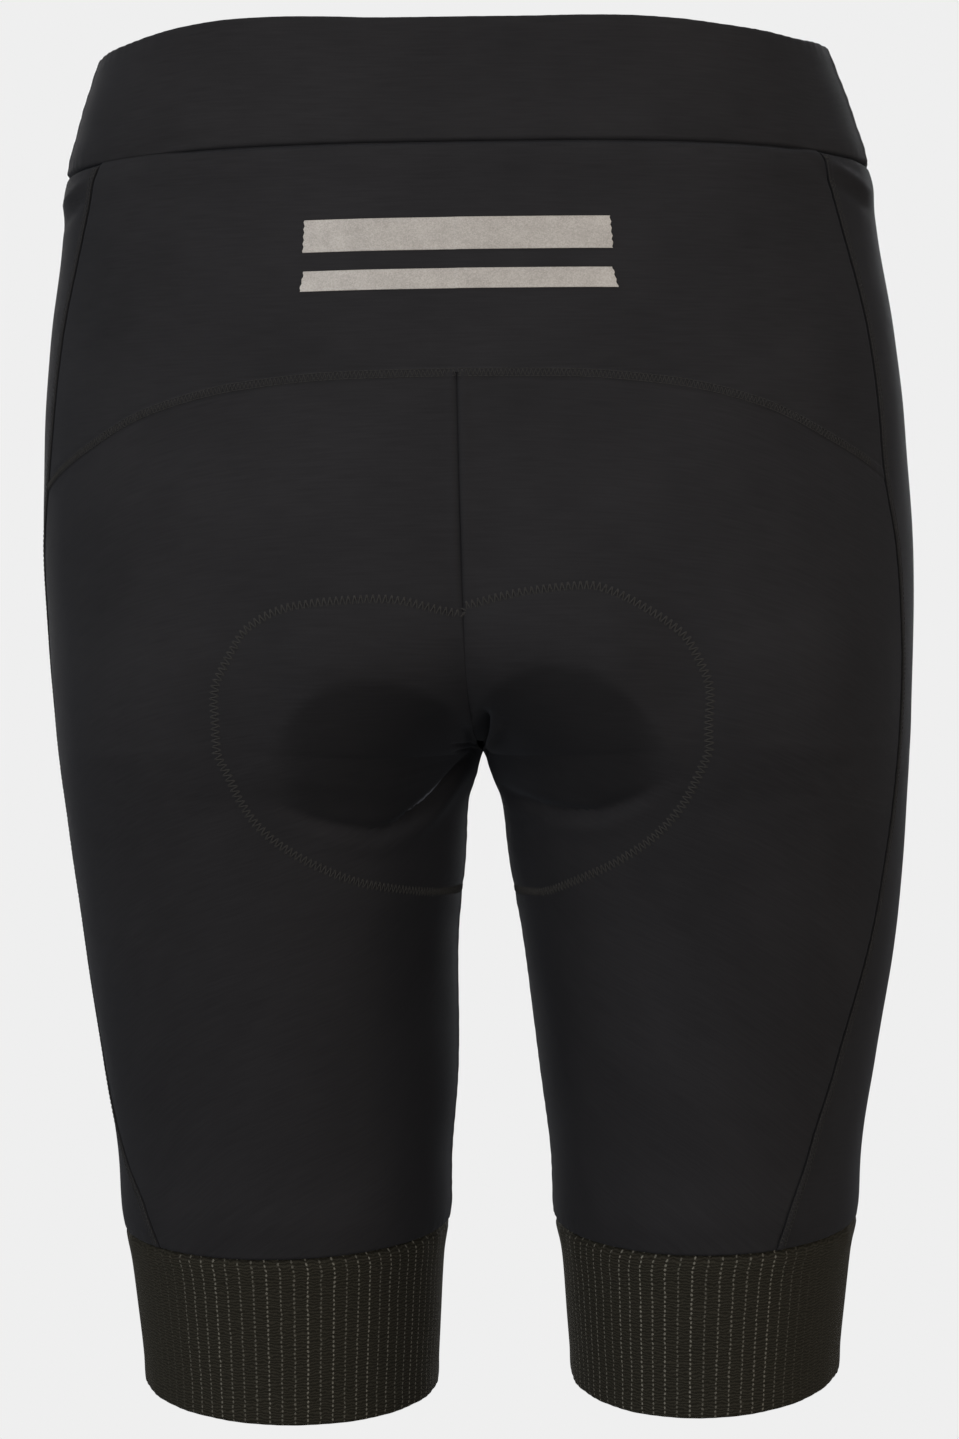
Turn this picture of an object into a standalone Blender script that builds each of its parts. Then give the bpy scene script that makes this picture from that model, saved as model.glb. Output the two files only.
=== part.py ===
"""Cycling shorts, worn and hollow, as cut and sewn pieces.

The wearer's right is +X, the front is +Y and up is +Z. The origin is the middle of the
waist opening, level with its rim. Sizes are in millimetres and become metres in the meshes.

The cloth follows one skin: at each drop below the rim a cross-section runs from the middle
of the back (angle -fork) over the outer side (angle 0) to the middle of the front (+fork).
On the torso the section is half an oval that ends on the middle plane. From the crotch down
it is a whole oval, the leg, which closes on the inseam.
"""
import bpy
import numpy as np

MM = 0.001

# Cloth and making
CLOTH = 1.2            # leg, seat and yoke fabric
BAND_CLOTH = 1.8       # waistband, two layers
GRIPPER_CLOTH = 1.4    # knitted leg band
SEAM_GAP = 0.3         # clear space between neighbouring pieces
DRAW_IN = 0.6          # share of it that each edge draws back; slanted edges need over half
PRINT_LIFT = 0.50      # reflective strips stand this far off the yoke
PRINT_CLOTH = 0.5

# Heights, measured down from the rim
BAND_HEIGHT = 48.0
FRONT_DIP = 12.0       # the rim is lower in front
CROTCH_DROP = 277.0
GRIPPER_DROP = 460.8
HEM_DROP = 523.0
LEFT_LOWER = 2.0       # the left leg band hangs this much lower than the right one
GRIPPER_TILT = 0.105   # the leg bands sit lower behind, per unit of depth
HEM_TILT = 0.125

# Cross-sections of the skin
SECTION_COLUMNS = ("drop", "outer", "inner", "back", "front", "square")
SECTIONS = (
    (0.0, 143.0, -143.0, -93.0, 95.0, 0.10),
    (25.0, 152.0, -152.0, -97.0, 99.0, 0.09),
    (50.0, 158.2, -158.2, -102.0, 102.0, 0.075),
    (80.0, 161.8, -161.8, -109.0, 105.0, 0.065),
    (115.0, 166.6, -166.6, -117.0, 108.0, 0.06),
    (150.0, 169.5, -169.5, -124.0, 109.0, 0.06),
    (200.0, 171.2, -118.0, -130.0, 108.0, 0.06),
    (240.0, 169.8, -53.0, -129.0, 106.0, 0.05),
    (262.0, 168.6, -19.0, -125.0, 104.0, 0.04),
    (274.0, 167.8, -4.0, -122.0, 103.0, 0.03),
    (277.0, 167.5, 0.0, -121.0, 102.0, 0.03),
    (286.0, 166.8, 3.0, -118.0, 101.0, 0.02),
    (298.0, 165.8, 7.0, -113.0, 100.0, 0.02),
    (315.0, 164.3, 8.4, -108.0, 98.0, 0.01),
    (330.0, 162.8, 10.3, -104.0, 96.0, 0.01),
    (345.0, 161.1, 12.6, -101.0, 94.0, 0.0),
    (400.0, 152.7, 16.3, -89.0, 88.0, 0.0),
    (440.0, 146.8, 20.0, -81.0, 82.0, 0.0),
    (456.0, 145.8, 20.2, -79.5, 80.5, 0.0),
    (471.0, 142.9, 22.8, -76.0, 76.0, 0.0),
    (500.0, 139.3, 25.0, -72.5, 73.0, 0.0),
    (540.0, 135.4, 27.6, -69.5, 70.0, 0.0),
)

# The left leg is filled a little broader and shallower than the right
UNEVEN_COLUMNS = ("drop", "swap")
UNEVEN = ((0.0, 0.0), (330.0, 0.0), (420.0, 2.4), (540.0, 2.6))

# The legs stand a little to the right of the waist
SWAY_COLUMNS = ("drop", "shift")
SWAY = ((0.0, 0.0), (150.0, 3.1), (277.0, 5.6), (420.0, 8.2), (540.0, 8.6))

# Seams, by their angle in degrees
BAND_SEAM = -6.0       # side seams of the waistband
DIP_FROM = -20.0       # the rim dips towards the front between these angles
DIP_TO = 90.0
SIDE_SEAM_COLUMNS = ("drop", "angle", "turn")
SIDE_SEAM = (
    (48.0, -28.5, 0.5),
    (75.0, -24.5, 0.8),
    (110.0, -20.8, 1.2),
    (150.0, -18.8, 2.0),
    (172.0, -18.0, 3.2),
    (200.0, -15.0, 4.2),
    (240.0, -13.2, 4.8),
    (300.0, -16.0, 8.0),
    (350.0, -20.5, 11.5),
    (400.0, -28.0, 14.5),
    (420.0, -33.5, 14.0),
    (436.0, -39.5, 12.0),
    (452.0, -48.0, 9.5),
    (475.0, -55.0, 9.0),
)
YOKE_SEAM_COLUMNS = ("share", "drop")
YOKE_SEAM = ((0.0, 136.5), (0.2, 137.0), (0.4, 140.0), (0.6, 147.5), (0.8, 160.5), (1.0, 173.0))

# Foam lobes of the seat pad, felt through the cloth
LOBE = {
    "apart": 38.0,         # middle of the lobe from the middle plane
    "drop": 275.0,
    "wide": 37.0,          # half-widths across and down
    "high": 31.0,
    "rise": 6.0,           # how far it stands out
    "flat": 0.35,          # share of the half-widths that is flat on top
    "end": 1.05,
    "crease": 2.0,         # depth of the soft crease under it
    "crease_at": 1.15,
    "crease_wide": 0.16,
}
BAND_STEP = {"rise": 0.5, "below": 9.0, "wide": 7.0}   # the cloth fills out below the band

# Seat pad: its outer edge along its length, from the back to the front
PAD_COLUMNS = ("share", "angle", "drop")
PAD_EDGE = ((0.0, -75.5, 235.0), (0.10, -77.0, 252.0), (0.18, -83.0, 272.0),
            (0.26, -93.0, 298.0), (0.34, -108.0, 314.0), (0.42, -132.0, 328.0),
            (0.50, -162.0, 332.0), (0.60, -200.0, 330.0), (0.70, -218.0, 316.0),
            (0.85, -232.0, 290.0), (1.0, -240.0, 250.0))
PAD_BACK_DROP = 225.0
PAD_FRONT_DROP = 222.0
PAD_CREST = 9.0        # the top edge arches up beside the middle
PAD_CLEAR = 1.7        # the pad's stitched edge lies this far inside the cloth
PAD_SLACK = 1.3        # and its middle this much further
PAD_FRONT_SLACK = 1.8  # in front it lies this much further in again
PAD_FOLLOW = 0.6       # share of the lobes that the pad's cloth side follows
PAD_RIDGE = 4.5        # the pad rides over the crotch seam by this much
PAD_SADDLE = 0.12      # share of its half-width over which it bridges that seam
PAD_EDGE_THICK = 2.0
PAD_FOAM = 3.5
PAD_LOBE_FOAM = 5.0

# Reflective strips: half length, top and bottom below the rim
STRIPS = {
    "reflective_strip_upper": {"half": 57.5, "top": 78.0, "bottom": 90.0, "flare": 0.4},
    "reflective_strip_lower": {"half": 58.5, "top": 97.5, "bottom": 105.0, "flare": 0.9},
}
STRIP_SHIFT = 1.0

# Grid counts
BACK_STEPS = 16        # columns from the middle of the back to the side seam
FRONT_STEPS = 13       # columns from the side seam to the middle of the front
BAND_ROWS = 4
BAND_STEPS = 16        # columns from the middle to the side of each waistband piece
YOKE_ROWS = 7
RISE_ROWS = 14         # rows of the seat panel above the crotch
INSEAM_ROWS = 12       # rows below it
GRIPPER_ROWS = 4
PAD_ROWS = 20
PAD_STEPS = 9
PAD_CROWD = 1.3        # its columns crowd towards the middle, where it bends most
STRIP_STEPS = 12

# Colours: linear red, green, blue and roughness
FINISHES = {
    "shell_fabric": ((0.0185, 0.0180, 0.0190), 0.72),
    "waistband_fabric": ((0.0190, 0.0180, 0.0180), 0.70),
    "gripper_knit": ((0.0160, 0.0160, 0.0120), 0.85),
    "pad_foam": ((0.0300, 0.0300, 0.0320), 0.90),
    "reflective_print": ((0.3700, 0.3400, 0.3050), 0.45),
}


def smooth_curve(knots, values, at):
    """Monotone cubic through the knots, so nothing overshoots between two rows."""
    knots = np.asarray(knots, float)
    values = np.asarray(values, float)
    step = np.diff(knots)
    slope = np.diff(values) / step
    same_way = slope[:-1] * slope[1:] > 0
    before = np.where(same_way, slope[:-1], 1.0)
    after = np.where(same_way, slope[1:], 1.0)
    weight_before = 2 * step[1:] + step[:-1]
    weight_after = step[1:] + 2 * step[:-1]
    blend = (weight_before + weight_after) / (weight_before / before + weight_after / after)
    tangent = np.zeros_like(values)
    tangent[1:-1] = np.where(same_way, blend, 0.0)
    tangent[0] = slope[0]
    tangent[-1] = slope[-1]
    at = np.clip(at, knots[0], knots[-1])
    cell = np.clip(np.searchsorted(knots, at, side="right") - 1, 0, len(step) - 1)
    span = step[cell]
    part = (at - knots[cell]) / span
    rest = 1 - part
    return (values[cell] * (1 + 2 * part) * rest ** 2
            + tangent[cell] * span * part * rest ** 2
            + values[cell + 1] * part ** 2 * (3 - 2 * part)
            - tangent[cell + 1] * span * part ** 2 * rest)


def column(table, names, wanted, at):
    """One named column of a table, read against its first column."""
    place = names.index(wanted)
    return smooth_curve([row[0] for row in table], [row[place] for row in table], at)


def ease(low, high, value):
    """0 below low, 1 above high, smooth between."""
    part = np.clip((value - low) / (high - low), 0.0, 1.0)
    return part * part * (3 - 2 * part)


def section(side, drop):
    """Centre and half-widths of the section at each drop, on one side of the body."""
    swap = -side * column(UNEVEN, UNEVEN_COLUMNS, "swap", drop)
    outer = column(SECTIONS, SECTION_COLUMNS, "outer", drop) + swap
    inner = column(SECTIONS, SECTION_COLUMNS, "inner", drop) - swap
    back = column(SECTIONS, SECTION_COLUMNS, "back", drop) + swap
    front = column(SECTIONS, SECTION_COLUMNS, "front", drop) - swap
    square = column(SECTIONS, SECTION_COLUMNS, "square", drop)
    return (outer + inner) / 2, (outer - inner) / 2, (front + back) / 2, (front - back) / 2, square


def fork_angle(side, drop):
    """Angle where the section meets the middle plane: 90 degrees on the torso, 180 on a leg."""
    centre, half, _, _, _ = section(side, drop)
    return np.arccos(np.clip(-centre / half, -1.0, 1.0))


def bare_skin(side, angle, drop):
    """Point of the smooth skin, x outwards on its own side."""
    centre, half, middle, depth, square = section(side, drop)
    x = centre + half * np.cos(angle)
    y = middle + depth * np.sin(angle) * (1 + square * np.sin(2 * angle) ** 2)
    return np.stack([x, y, -drop * np.ones_like(x)], axis=-1)


def skin_normal(side, angle, drop):
    """Outward normal from two small steps along the skin."""
    turn = 0.002
    fall = 0.5
    across = bare_skin(side, angle + turn, drop) - bare_skin(side, angle - turn, drop)
    down = bare_skin(side, angle, drop + fall) - bare_skin(side, angle, drop - fall)
    normal = np.cross(down, across)
    return normal / np.linalg.norm(normal, axis=-1, keepdims=True)


def relief(side, angle, drop):
    """How far the cloth stands off the smooth skin: pad lobes and the step below the band."""
    point = bare_skin(side, angle, drop)
    across = (point[..., 0] - LOBE["apart"]) / LOBE["wide"]
    along = (drop - LOBE["drop"]) / LOBE["high"]
    away = np.hypot(across, along)
    behind = ease(0.0, 0.5, -np.sin(angle))
    lobe = LOBE["rise"] * (1 - ease(LOBE["flat"], LOBE["end"], away))
    crease = np.exp(-((away - LOBE["crease_at"]) / LOBE["crease_wide"]) ** 2)
    crease = LOBE["crease"] * crease * ease(0.1, 0.7, along)
    below = drop - BAND_HEIGHT
    step = np.exp(-((below - BAND_STEP["below"]) / BAND_STEP["wide"]) ** 2)
    step = BAND_STEP["rise"] * step * ease(0.0, 3.0, below)
    return behind * (lobe - crease) + step


def sway(drop):
    return column(SWAY, SWAY_COLUMNS, "shift", drop)


def place(side, angle, drop, offset, least=0.0):
    """Points of the garment: skin, relief and an offset along the normal, in both halves.

    No point comes nearer the middle plane than least.
    """
    normal = skin_normal(side, angle, drop)
    reach = relief(side, angle, drop) + offset
    point = bare_skin(side, angle, drop) + normal * reach[..., None]
    x = np.maximum(point[..., 0], least) * side + sway(-point[..., 2])
    return np.stack([x, point[..., 1], point[..., 2]], axis=-1)


def seam_angle(side, share, drop):
    """Angle of a point by its share: 0 mid back or inseam, 1 side seam, 2 mid front."""
    fork = fork_angle(side, drop)
    turn = column(SIDE_SEAM, SIDE_SEAM_COLUMNS, "turn", drop)
    seam = np.radians(column(SIDE_SEAM, SIDE_SEAM_COLUMNS, "angle", drop) - side * turn)
    back = -fork + (seam + fork) * share
    front = seam + (fork - seam) * (share - 1)
    return np.where(share <= 1, back, front)


def rim_drop(angle):
    """The rim dips smoothly from the sides to the middle of the front."""
    return FRONT_DIP * ease(np.radians(DIP_FROM), np.radians(DIP_TO), angle)


def band_seam(side, share):
    """Lower edge of the waistband above each column of a panel."""
    found = np.full_like(share, BAND_HEIGHT)
    for _ in range(3):
        found = BAND_HEIGHT + rim_drop(seam_angle(side, share, found))
    return found


def yoke_seam(share):
    return column(YOKE_SEAM, YOKE_SEAM_COLUMNS, "drop", share)


def level(side, share, drop, tilt):
    """Drop of a tilted plane where the skin meets it: lower behind, higher in front."""
    start = drop + LEFT_LOWER * (side < 0)
    found = np.full_like(share, start)
    for _ in range(4):
        point = bare_skin(side, seam_angle(side, share, found), found)
        found = start - tilt * point[..., 1]
    return found


def fine_towards_end(count):
    """Shares from 0 to 1 that crowd towards 1, where the crotch seam runs level."""
    return 1 - (1 - np.linspace(0, 1, count)) ** 3


def even_drops(side, share, start, end, count):
    """Drops along one seam of the skin at even lengths, both ends included."""
    drops = start + (end - start) * fine_towards_end(400)
    edge = np.full_like(drops, share)
    points = bare_skin(side, seam_angle(side, edge, drops), drops)
    length = np.concatenate([[0], np.cumsum(np.linalg.norm(np.diff(points, axis=0), axis=1))])
    return np.interp(np.linspace(0, length[-1], count + 1), length, drops)


def fan(first, last, along):
    """Drops over a panel: each row runs from its first drop to its last."""
    return first[:, None] + (last - first)[:, None] * along[None, :]


def finish(name):
    colour, roughness = FINISHES[name]
    material = bpy.data.materials.new(name)
    material.use_nodes = True
    shader = material.node_tree.nodes["Principled BSDF"]
    shader.inputs["Base Color"].default_value = (*colour, 1.0)
    shader.inputs["Roughness"].default_value = roughness
    shader.inputs["Metallic"].default_value = 0.0
    material.diffuse_color = (*colour, 1.0)
    return material


def draw_in(grid, ring):
    """Pull the four edges of a grid back by half the seam gap; a ring has only two."""
    grid = grid.copy()
    reach = SEAM_GAP * DRAW_IN

    def pull(edge, inside):
        step = inside - edge
        return edge + reach * step / np.linalg.norm(step, axis=-1, keepdims=True)

    grid[0], grid[-1] = pull(grid[0], grid[1]), pull(grid[-1], grid[-2])
    if not ring:
        first = pull(grid[:, 0], grid[:, 1])
        last = pull(grid[:, -1], grid[:, -2])
        grid[:, 0], grid[:, -1] = first, last
    return grid


def solid(name, outside, inside, material, ring=False):
    """Closed wall between two grids of the same size, faces outwards."""
    rows, cols = outside.shape[:2]
    vertices = np.concatenate([outside.reshape(-1, 3), inside.reshape(-1, 3)]) * MM
    number = np.arange(rows * cols).reshape(rows, cols)
    shift = rows * cols
    if ring:
        number = np.concatenate([number, number[:, :1]], axis=1)
    one, two = number[:-1, :-1].ravel(), number[:-1, 1:].ravel()
    three, four = number[1:, 1:].ravel(), number[1:, :-1].ravel()
    outer = np.stack([one, four, three, two], axis=1)
    inner = np.stack([one, two, three, four], axis=1) + shift
    edges = [number[0, :], number[-1, ::-1]]
    if not ring:
        edges += [number[::-1, 0], number[:, -1]]
    rims = [np.stack([e[:-1], e[1:], e[1:] + shift, e[:-1] + shift], axis=1) for e in edges]
    faces = np.concatenate([outer, inner, *rims])
    mesh = bpy.data.meshes.new(name)
    mesh.from_pydata(vertices.tolist(), [], faces.tolist())
    mesh.materials.append(material)
    mesh.validate()
    mesh.shade_smooth()
    mesh.set_sharp_from_angle(angle=np.radians(40))
    thing = bpy.data.objects.new(name, mesh)
    bpy.context.collection.objects.link(thing)
    return thing


def panel(name, side, shares, drops, thick, material, ring=False):
    """A cloth wall on one half of the body, over a grid of shares and drops."""
    angle = seam_angle(side, shares, drops)
    flat = np.zeros_like(drops)
    least = SEAM_GAP / 2
    outside = draw_in(place(side, angle, drops, flat, least), ring)
    inside = draw_in(place(side, angle, drops, flat - thick, least), ring)
    if side < 0:
        outside, inside = outside[:, ::-1], inside[:, ::-1]
    return solid(name, outside, inside, material, ring)


def both_sides(angles, drops, offset):
    """Grid that crosses the middle: the left half mirrored onto the right one."""
    halves = {side: place(side, angles[side], drops[side], offset) for side in (-1, 1)}
    return np.concatenate([halves[-1][:, :0:-1], halves[1]], axis=1)


def cross_panel(name, angles, drops, thick, material):
    """A cloth wall that crosses the middle of the back or of the front."""
    flat = np.zeros_like(drops[1])
    outside = draw_in(both_sides(angles, drops, flat), False)
    inside = draw_in(both_sides(angles, drops, flat - thick), False)
    if angles[1][0, 0] > 0:
        outside, inside = outside[:, ::-1], inside[:, ::-1]
    return solid(name, outside, inside, material)


def back_shares():
    return np.linspace(0, 1, BACK_STEPS + 1)


def front_shares():
    return np.linspace(1, 2, FRONT_STEPS + 1)


def make_waistband(material):
    """Two pieces, back and front, which meet at their own side seams."""
    down = np.linspace(0, 1, BAND_ROWS + 1)[:, None]
    for name, middle in (("waistband_back", -90.0), ("waistband_front", 90.0)):
        angle = np.radians(np.linspace(middle, BAND_SEAM, BAND_STEPS + 1))
        drops = rim_drop(angle) + down * BAND_HEIGHT
        grid = np.broadcast_to(angle, drops.shape)
        cross_panel(name, {-1: grid, 1: grid}, {-1: drops, 1: drops}, BAND_CLOTH, material)


def make_yoke(material):
    """Back yoke between the waistband and the curved seam over the seat."""
    down = np.linspace(0, 1, YOKE_ROWS + 1)[:, None]
    shares = back_shares()
    drops = {}
    angles = {}
    for side in (-1, 1):
        top = band_seam(side, shares)
        drops[side] = top + down * (yoke_seam(shares) - top)
        angles[side] = seam_angle(side, np.broadcast_to(shares, drops[side].shape), drops[side])
    cross_panel("back_yoke", angles, drops, CLOTH, material)


def leg_drops(side):
    """Drops of the rows where they meet the inseam or middle seams and the side seam."""
    one = np.ones(1)
    hem_in = level(side, 0 * one, GRIPPER_DROP, GRIPPER_TILT)[0]
    hem_side = level(side, one, GRIPPER_DROP, GRIPPER_TILT)[0]
    yoke_side = float(yoke_seam(one)[0])
    inseam = even_drops(side, 0.0, CROTCH_DROP, hem_in, INSEAM_ROWS)
    rise = even_drops(side, 0.0, float(yoke_seam(0 * one)[0]), CROTCH_DROP, RISE_ROWS)
    side_rows = np.linspace(yoke_side, hem_side, RISE_ROWS + INSEAM_ROWS + 1)
    return rise, inseam, side_rows


def make_seat_panel(name, side, material):
    """Back of a leg: from the yoke over the seat, and down to the leg band."""
    rise, inseam, side_rows = leg_drops(side)
    shares = back_shares()
    middle = np.concatenate([rise, inseam[1:]])
    drops = fan(middle, side_rows, shares)
    top_bend = yoke_seam(shares) - drops[0]
    hem_bend = level(side, shares, GRIPPER_DROP, GRIPPER_TILT) - drops[-1]
    down = np.linspace(0, 1, len(middle))[:, None]
    drops = drops + top_bend * (1 - down) ** 3 + hem_bend * down ** 3
    panel(name, side, np.broadcast_to(shares, drops.shape), drops, CLOTH, material)


def make_front_panel(name, side, material):
    """Front of a leg, from the waistband to the leg band, side seam to middle seam."""
    one = np.ones(1)
    rise, inseam, side_rows = leg_drops(side)
    band_side, band_middle = band_seam(side, one)[0], band_seam(side, 2 * one)[0]
    yoke_rows = np.linspace(band_side, side_rows[0], YOKE_ROWS + 1)
    edge = np.concatenate([yoke_rows, side_rows[1:]])
    front = even_drops(side, 2.0, band_middle, CROTCH_DROP, YOKE_ROWS + RISE_ROWS)
    middle = np.concatenate([front, inseam[1:]])
    shares = front_shares()
    drops = fan(edge, middle, shares - 1)
    top_bend = band_seam(side, shares) - drops[0]
    hem_bend = level(side, shares, GRIPPER_DROP, GRIPPER_TILT) - drops[-1]
    down = np.linspace(0, 1, len(middle))[:, None]
    drops = drops + top_bend * (1 - down) ** 3 + hem_bend * down ** 3
    panel(name, side, np.broadcast_to(shares, drops.shape), drops, CLOTH, material)


def make_gripper(name, side, material):
    """Knitted tube round the leg, from the leg seam to the hem."""
    shares = np.concatenate([back_shares(), front_shares()[1:-1]])
    top = level(side, shares, GRIPPER_DROP, GRIPPER_TILT)
    hem = level(side, shares, HEM_DROP, HEM_TILT)
    down = np.linspace(0, 1, GRIPPER_ROWS + 1)[:, None]
    drops = top + down * (hem - top)
    panel(name, side, np.broadcast_to(shares, drops.shape), drops, GRIPPER_CLOTH, material, True)


def pad_middle():
    """Angle and drop of the pad's middle line, at even lengths from back to front."""
    fine = fine_towards_end(300)
    back = PAD_BACK_DROP + (CROTCH_DROP - PAD_BACK_DROP) * fine
    front = (PAD_FRONT_DROP + (CROTCH_DROP - PAD_FRONT_DROP) * fine)[::-1]
    drops = np.concatenate([back, front[1:]])
    angle = np.concatenate([-fork_angle(1, back), fork_angle(1, front[1:]) - 2 * np.pi])
    points = bare_skin(1, angle, drops)
    length = np.concatenate([[0], np.cumsum(np.linalg.norm(np.diff(points, axis=0), axis=1))])
    wanted = np.linspace(0, length[-1], PAD_ROWS + 1)
    return np.interp(wanted, length, angle), np.interp(wanted, length, drops)


def make_pad(material):
    """Seat pad under the seat panels, over the crotch seam, with two thicker lobes."""
    share = np.linspace(0, 1, PAD_ROWS + 1)
    middle_angle, middle_drop = pad_middle()
    edge_angle = np.radians(column(PAD_EDGE, PAD_COLUMNS, "angle", share))
    edge_drop = column(PAD_EDGE, PAD_COLUMNS, "drop", share)
    out = np.linspace(0, 1, PAD_STEPS + 1)[None, :] ** PAD_CROWD
    angle = middle_angle[:, None] + (edge_angle - middle_angle)[:, None] * out
    drops = middle_drop[:, None] + (edge_drop - middle_drop)[:, None] * out
    crest = PAD_CREST * (1 - ease(0.0, 0.2, share))[:, None] * np.sin(np.pi * out)
    drops = drops - crest

    middle = bare_skin(1, middle_angle, middle_drop)
    tangent = np.gradient(middle, axis=0)
    lift = np.stack([np.zeros_like(share), tangent[:, 2], -tangent[:, 1]], axis=1)
    lift /= np.linalg.norm(lift, axis=1, keepdims=True)
    inward = -skin_normal(1, angle, drops)
    near = np.exp(-(out / PAD_SADDLE) ** 2)[..., None]
    way = near * -lift[:, None, :] + (1 - near) * inward
    way /= np.linalg.norm(way, axis=-1, keepdims=True)

    fold = np.abs(inward[:, :1, 0])
    ridge = PAD_RIDGE * fold * near[..., 0]
    clear = PAD_CLEAR + PAD_FRONT_SLACK * ease(0.55, 0.7, share)[:, None]
    start = CLOTH + clear + PAD_SLACK * ease(0.0, 0.3, 1 - out) + ridge
    ends = ease(0.0, 0.12, share) * ease(0.0, 0.12, 1 - share)
    body = ease(0.0, 0.25, 1 - out) * ends[:, None]
    skin = bare_skin(1, angle, drops)
    across = (skin[..., 0] - LOBE["apart"]) / LOBE["wide"]
    along = (drops - LOBE["drop"]) / LOBE["high"]
    behind = ease(0.0, 0.5, -np.sin(angle))
    lobe = (1 - ease(LOBE["flat"], LOBE["end"], np.hypot(across, along))) * behind
    thick = PAD_EDGE_THICK + PAD_FOAM * body + PAD_LOBE_FOAM * lobe
    faces = []
    for depth in (start, start + thick):
        stand_off = relief(1, angle, drops)
        stand_off = np.where(stand_off > 0, PAD_FOLLOW * stand_off, stand_off)
        grid = skin + skin_normal(1, angle, drops) * stand_off[..., None]
        grid = grid + way * depth[..., None]
        grid[:, 0, 0] = 0.0
        left = grid[:, :0:-1] * np.array([-1.0, 1.0, 1.0])
        whole = np.concatenate([left, grid], axis=1)
        whole[..., 0] += sway(-whole[..., 2])
        faces.append(whole)
    return solid("seat_pad", faces[0], faces[1], material)


def make_strips(material):
    """Two reflective strips printed across the yoke, laid on its points and moved out."""
    for name, size in STRIPS.items():
        reach = np.linspace(-1, 1, STRIP_STEPS + 1)
        down = np.linspace(0, 1, 3)[:, None]
        drops = size["top"] + down * (size["bottom"] - size["top"]) + 0 * reach
        target = (size["half"] + size["flare"] * (2 * down - 1)) * reach
        grids = []
        for offset in (PRINT_LIFT + PRINT_CLOTH, PRINT_LIFT):
            side = np.where(target < 0, -1.0, 1.0)
            centre, half, _, _, _ = section(1, drops)
            angle = -np.arccos(np.clip((np.abs(target) - centre) / half, -1, 1))
            point = place(side, angle, drops, np.full_like(drops, offset))
            point[..., 0] += STRIP_SHIFT
            grids.append(point)
        solid(name, grids[0], grids[1], material)


def main():
    for thing in list(bpy.data.objects):
        bpy.data.objects.remove(thing, do_unlink=True)
    finishes = {name: finish(name) for name in FINISHES}
    make_waistband(finishes["waistband_fabric"])
    make_yoke(finishes["shell_fabric"])
    for word, side in (("left", -1), ("right", 1)):
        make_seat_panel(f"{word}_seat_panel", side, finishes["shell_fabric"])
        make_front_panel(f"{word}_front_panel", side, finishes["shell_fabric"])
        make_gripper(f"{word}_leg_gripper", side, finishes["gripper_knit"])
    make_pad(finishes["pad_foam"])
    make_strips(finishes["reflective_print"])


main()
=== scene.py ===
import math

import bpy
import numpy as np
from mathutils import Matrix, Vector


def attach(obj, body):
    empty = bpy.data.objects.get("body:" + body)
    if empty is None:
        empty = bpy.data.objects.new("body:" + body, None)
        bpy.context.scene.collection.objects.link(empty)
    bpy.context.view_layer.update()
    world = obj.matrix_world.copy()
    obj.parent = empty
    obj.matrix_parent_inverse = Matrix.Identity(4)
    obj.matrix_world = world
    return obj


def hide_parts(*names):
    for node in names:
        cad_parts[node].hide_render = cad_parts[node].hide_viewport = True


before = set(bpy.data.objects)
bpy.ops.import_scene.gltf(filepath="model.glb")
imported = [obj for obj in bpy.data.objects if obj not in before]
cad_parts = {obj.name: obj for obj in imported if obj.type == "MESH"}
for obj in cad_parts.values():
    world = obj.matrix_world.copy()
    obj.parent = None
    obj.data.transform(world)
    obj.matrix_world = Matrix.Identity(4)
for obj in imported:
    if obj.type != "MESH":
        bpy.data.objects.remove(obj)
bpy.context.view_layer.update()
print("frame loaded")

mm = 0.001
scene = bpy.context.scene

# The worn form: cross-sections of one smooth skin, sizes in millimetres, drops below the rim
sectionColumns = ("drop", "outer", "inner", "back", "front", "square")
sections = (
    (0.0, 143.0, -143.0, -93.0, 95.0, 0.10),
    (25.0, 152.0, -152.0, -97.0, 99.0, 0.09),
    (50.0, 158.2, -158.2, -102.0, 102.0, 0.075),
    (80.0, 161.8, -161.8, -109.0, 105.0, 0.065),
    (115.0, 166.6, -166.6, -117.0, 108.0, 0.06),
    (150.0, 169.5, -169.5, -124.0, 109.0, 0.06),
    (200.0, 171.2, -118.0, -130.0, 108.0, 0.06),
    (240.0, 169.8, -53.0, -129.0, 106.0, 0.05),
    (262.0, 168.6, -19.0, -125.0, 104.0, 0.04),
    (274.0, 167.8, -4.0, -122.0, 103.0, 0.03),
    (277.0, 167.5, 0.0, -121.0, 102.0, 0.03),
    (286.0, 166.8, 3.0, -118.0, 101.0, 0.02),
    (298.0, 165.8, 7.0, -113.0, 100.0, 0.02),
    (315.0, 164.3, 8.4, -108.0, 98.0, 0.01),
    (330.0, 162.8, 10.3, -104.0, 96.0, 0.01),
    (345.0, 161.1, 12.6, -101.0, 94.0, 0.0),
    (400.0, 152.7, 16.3, -89.0, 88.0, 0.0),
    (440.0, 146.8, 20.0, -81.0, 82.0, 0.0),
    (456.0, 145.8, 20.2, -79.5, 80.5, 0.0),
    (471.0, 142.9, 22.8, -76.0, 76.0, 0.0),
    (500.0, 139.3, 25.0, -72.5, 73.0, 0.0),
    (540.0, 135.4, 27.6, -69.5, 70.0, 0.0),
)
unevenColumns = ("drop", "swap")    # the left leg is filled broader and shallower
uneven = ((0.0, 0.0), (330.0, 0.0), (420.0, 2.4), (540.0, 2.6))
swayColumns = ("drop", "shift")     # the legs stand a little to the right of the waist
swayTable = ((0.0, 0.0), (150.0, 3.1), (277.0, 5.6), (420.0, 8.2), (540.0, 8.6))
sideSeamColumns = ("drop", "angle", "turn")
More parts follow.
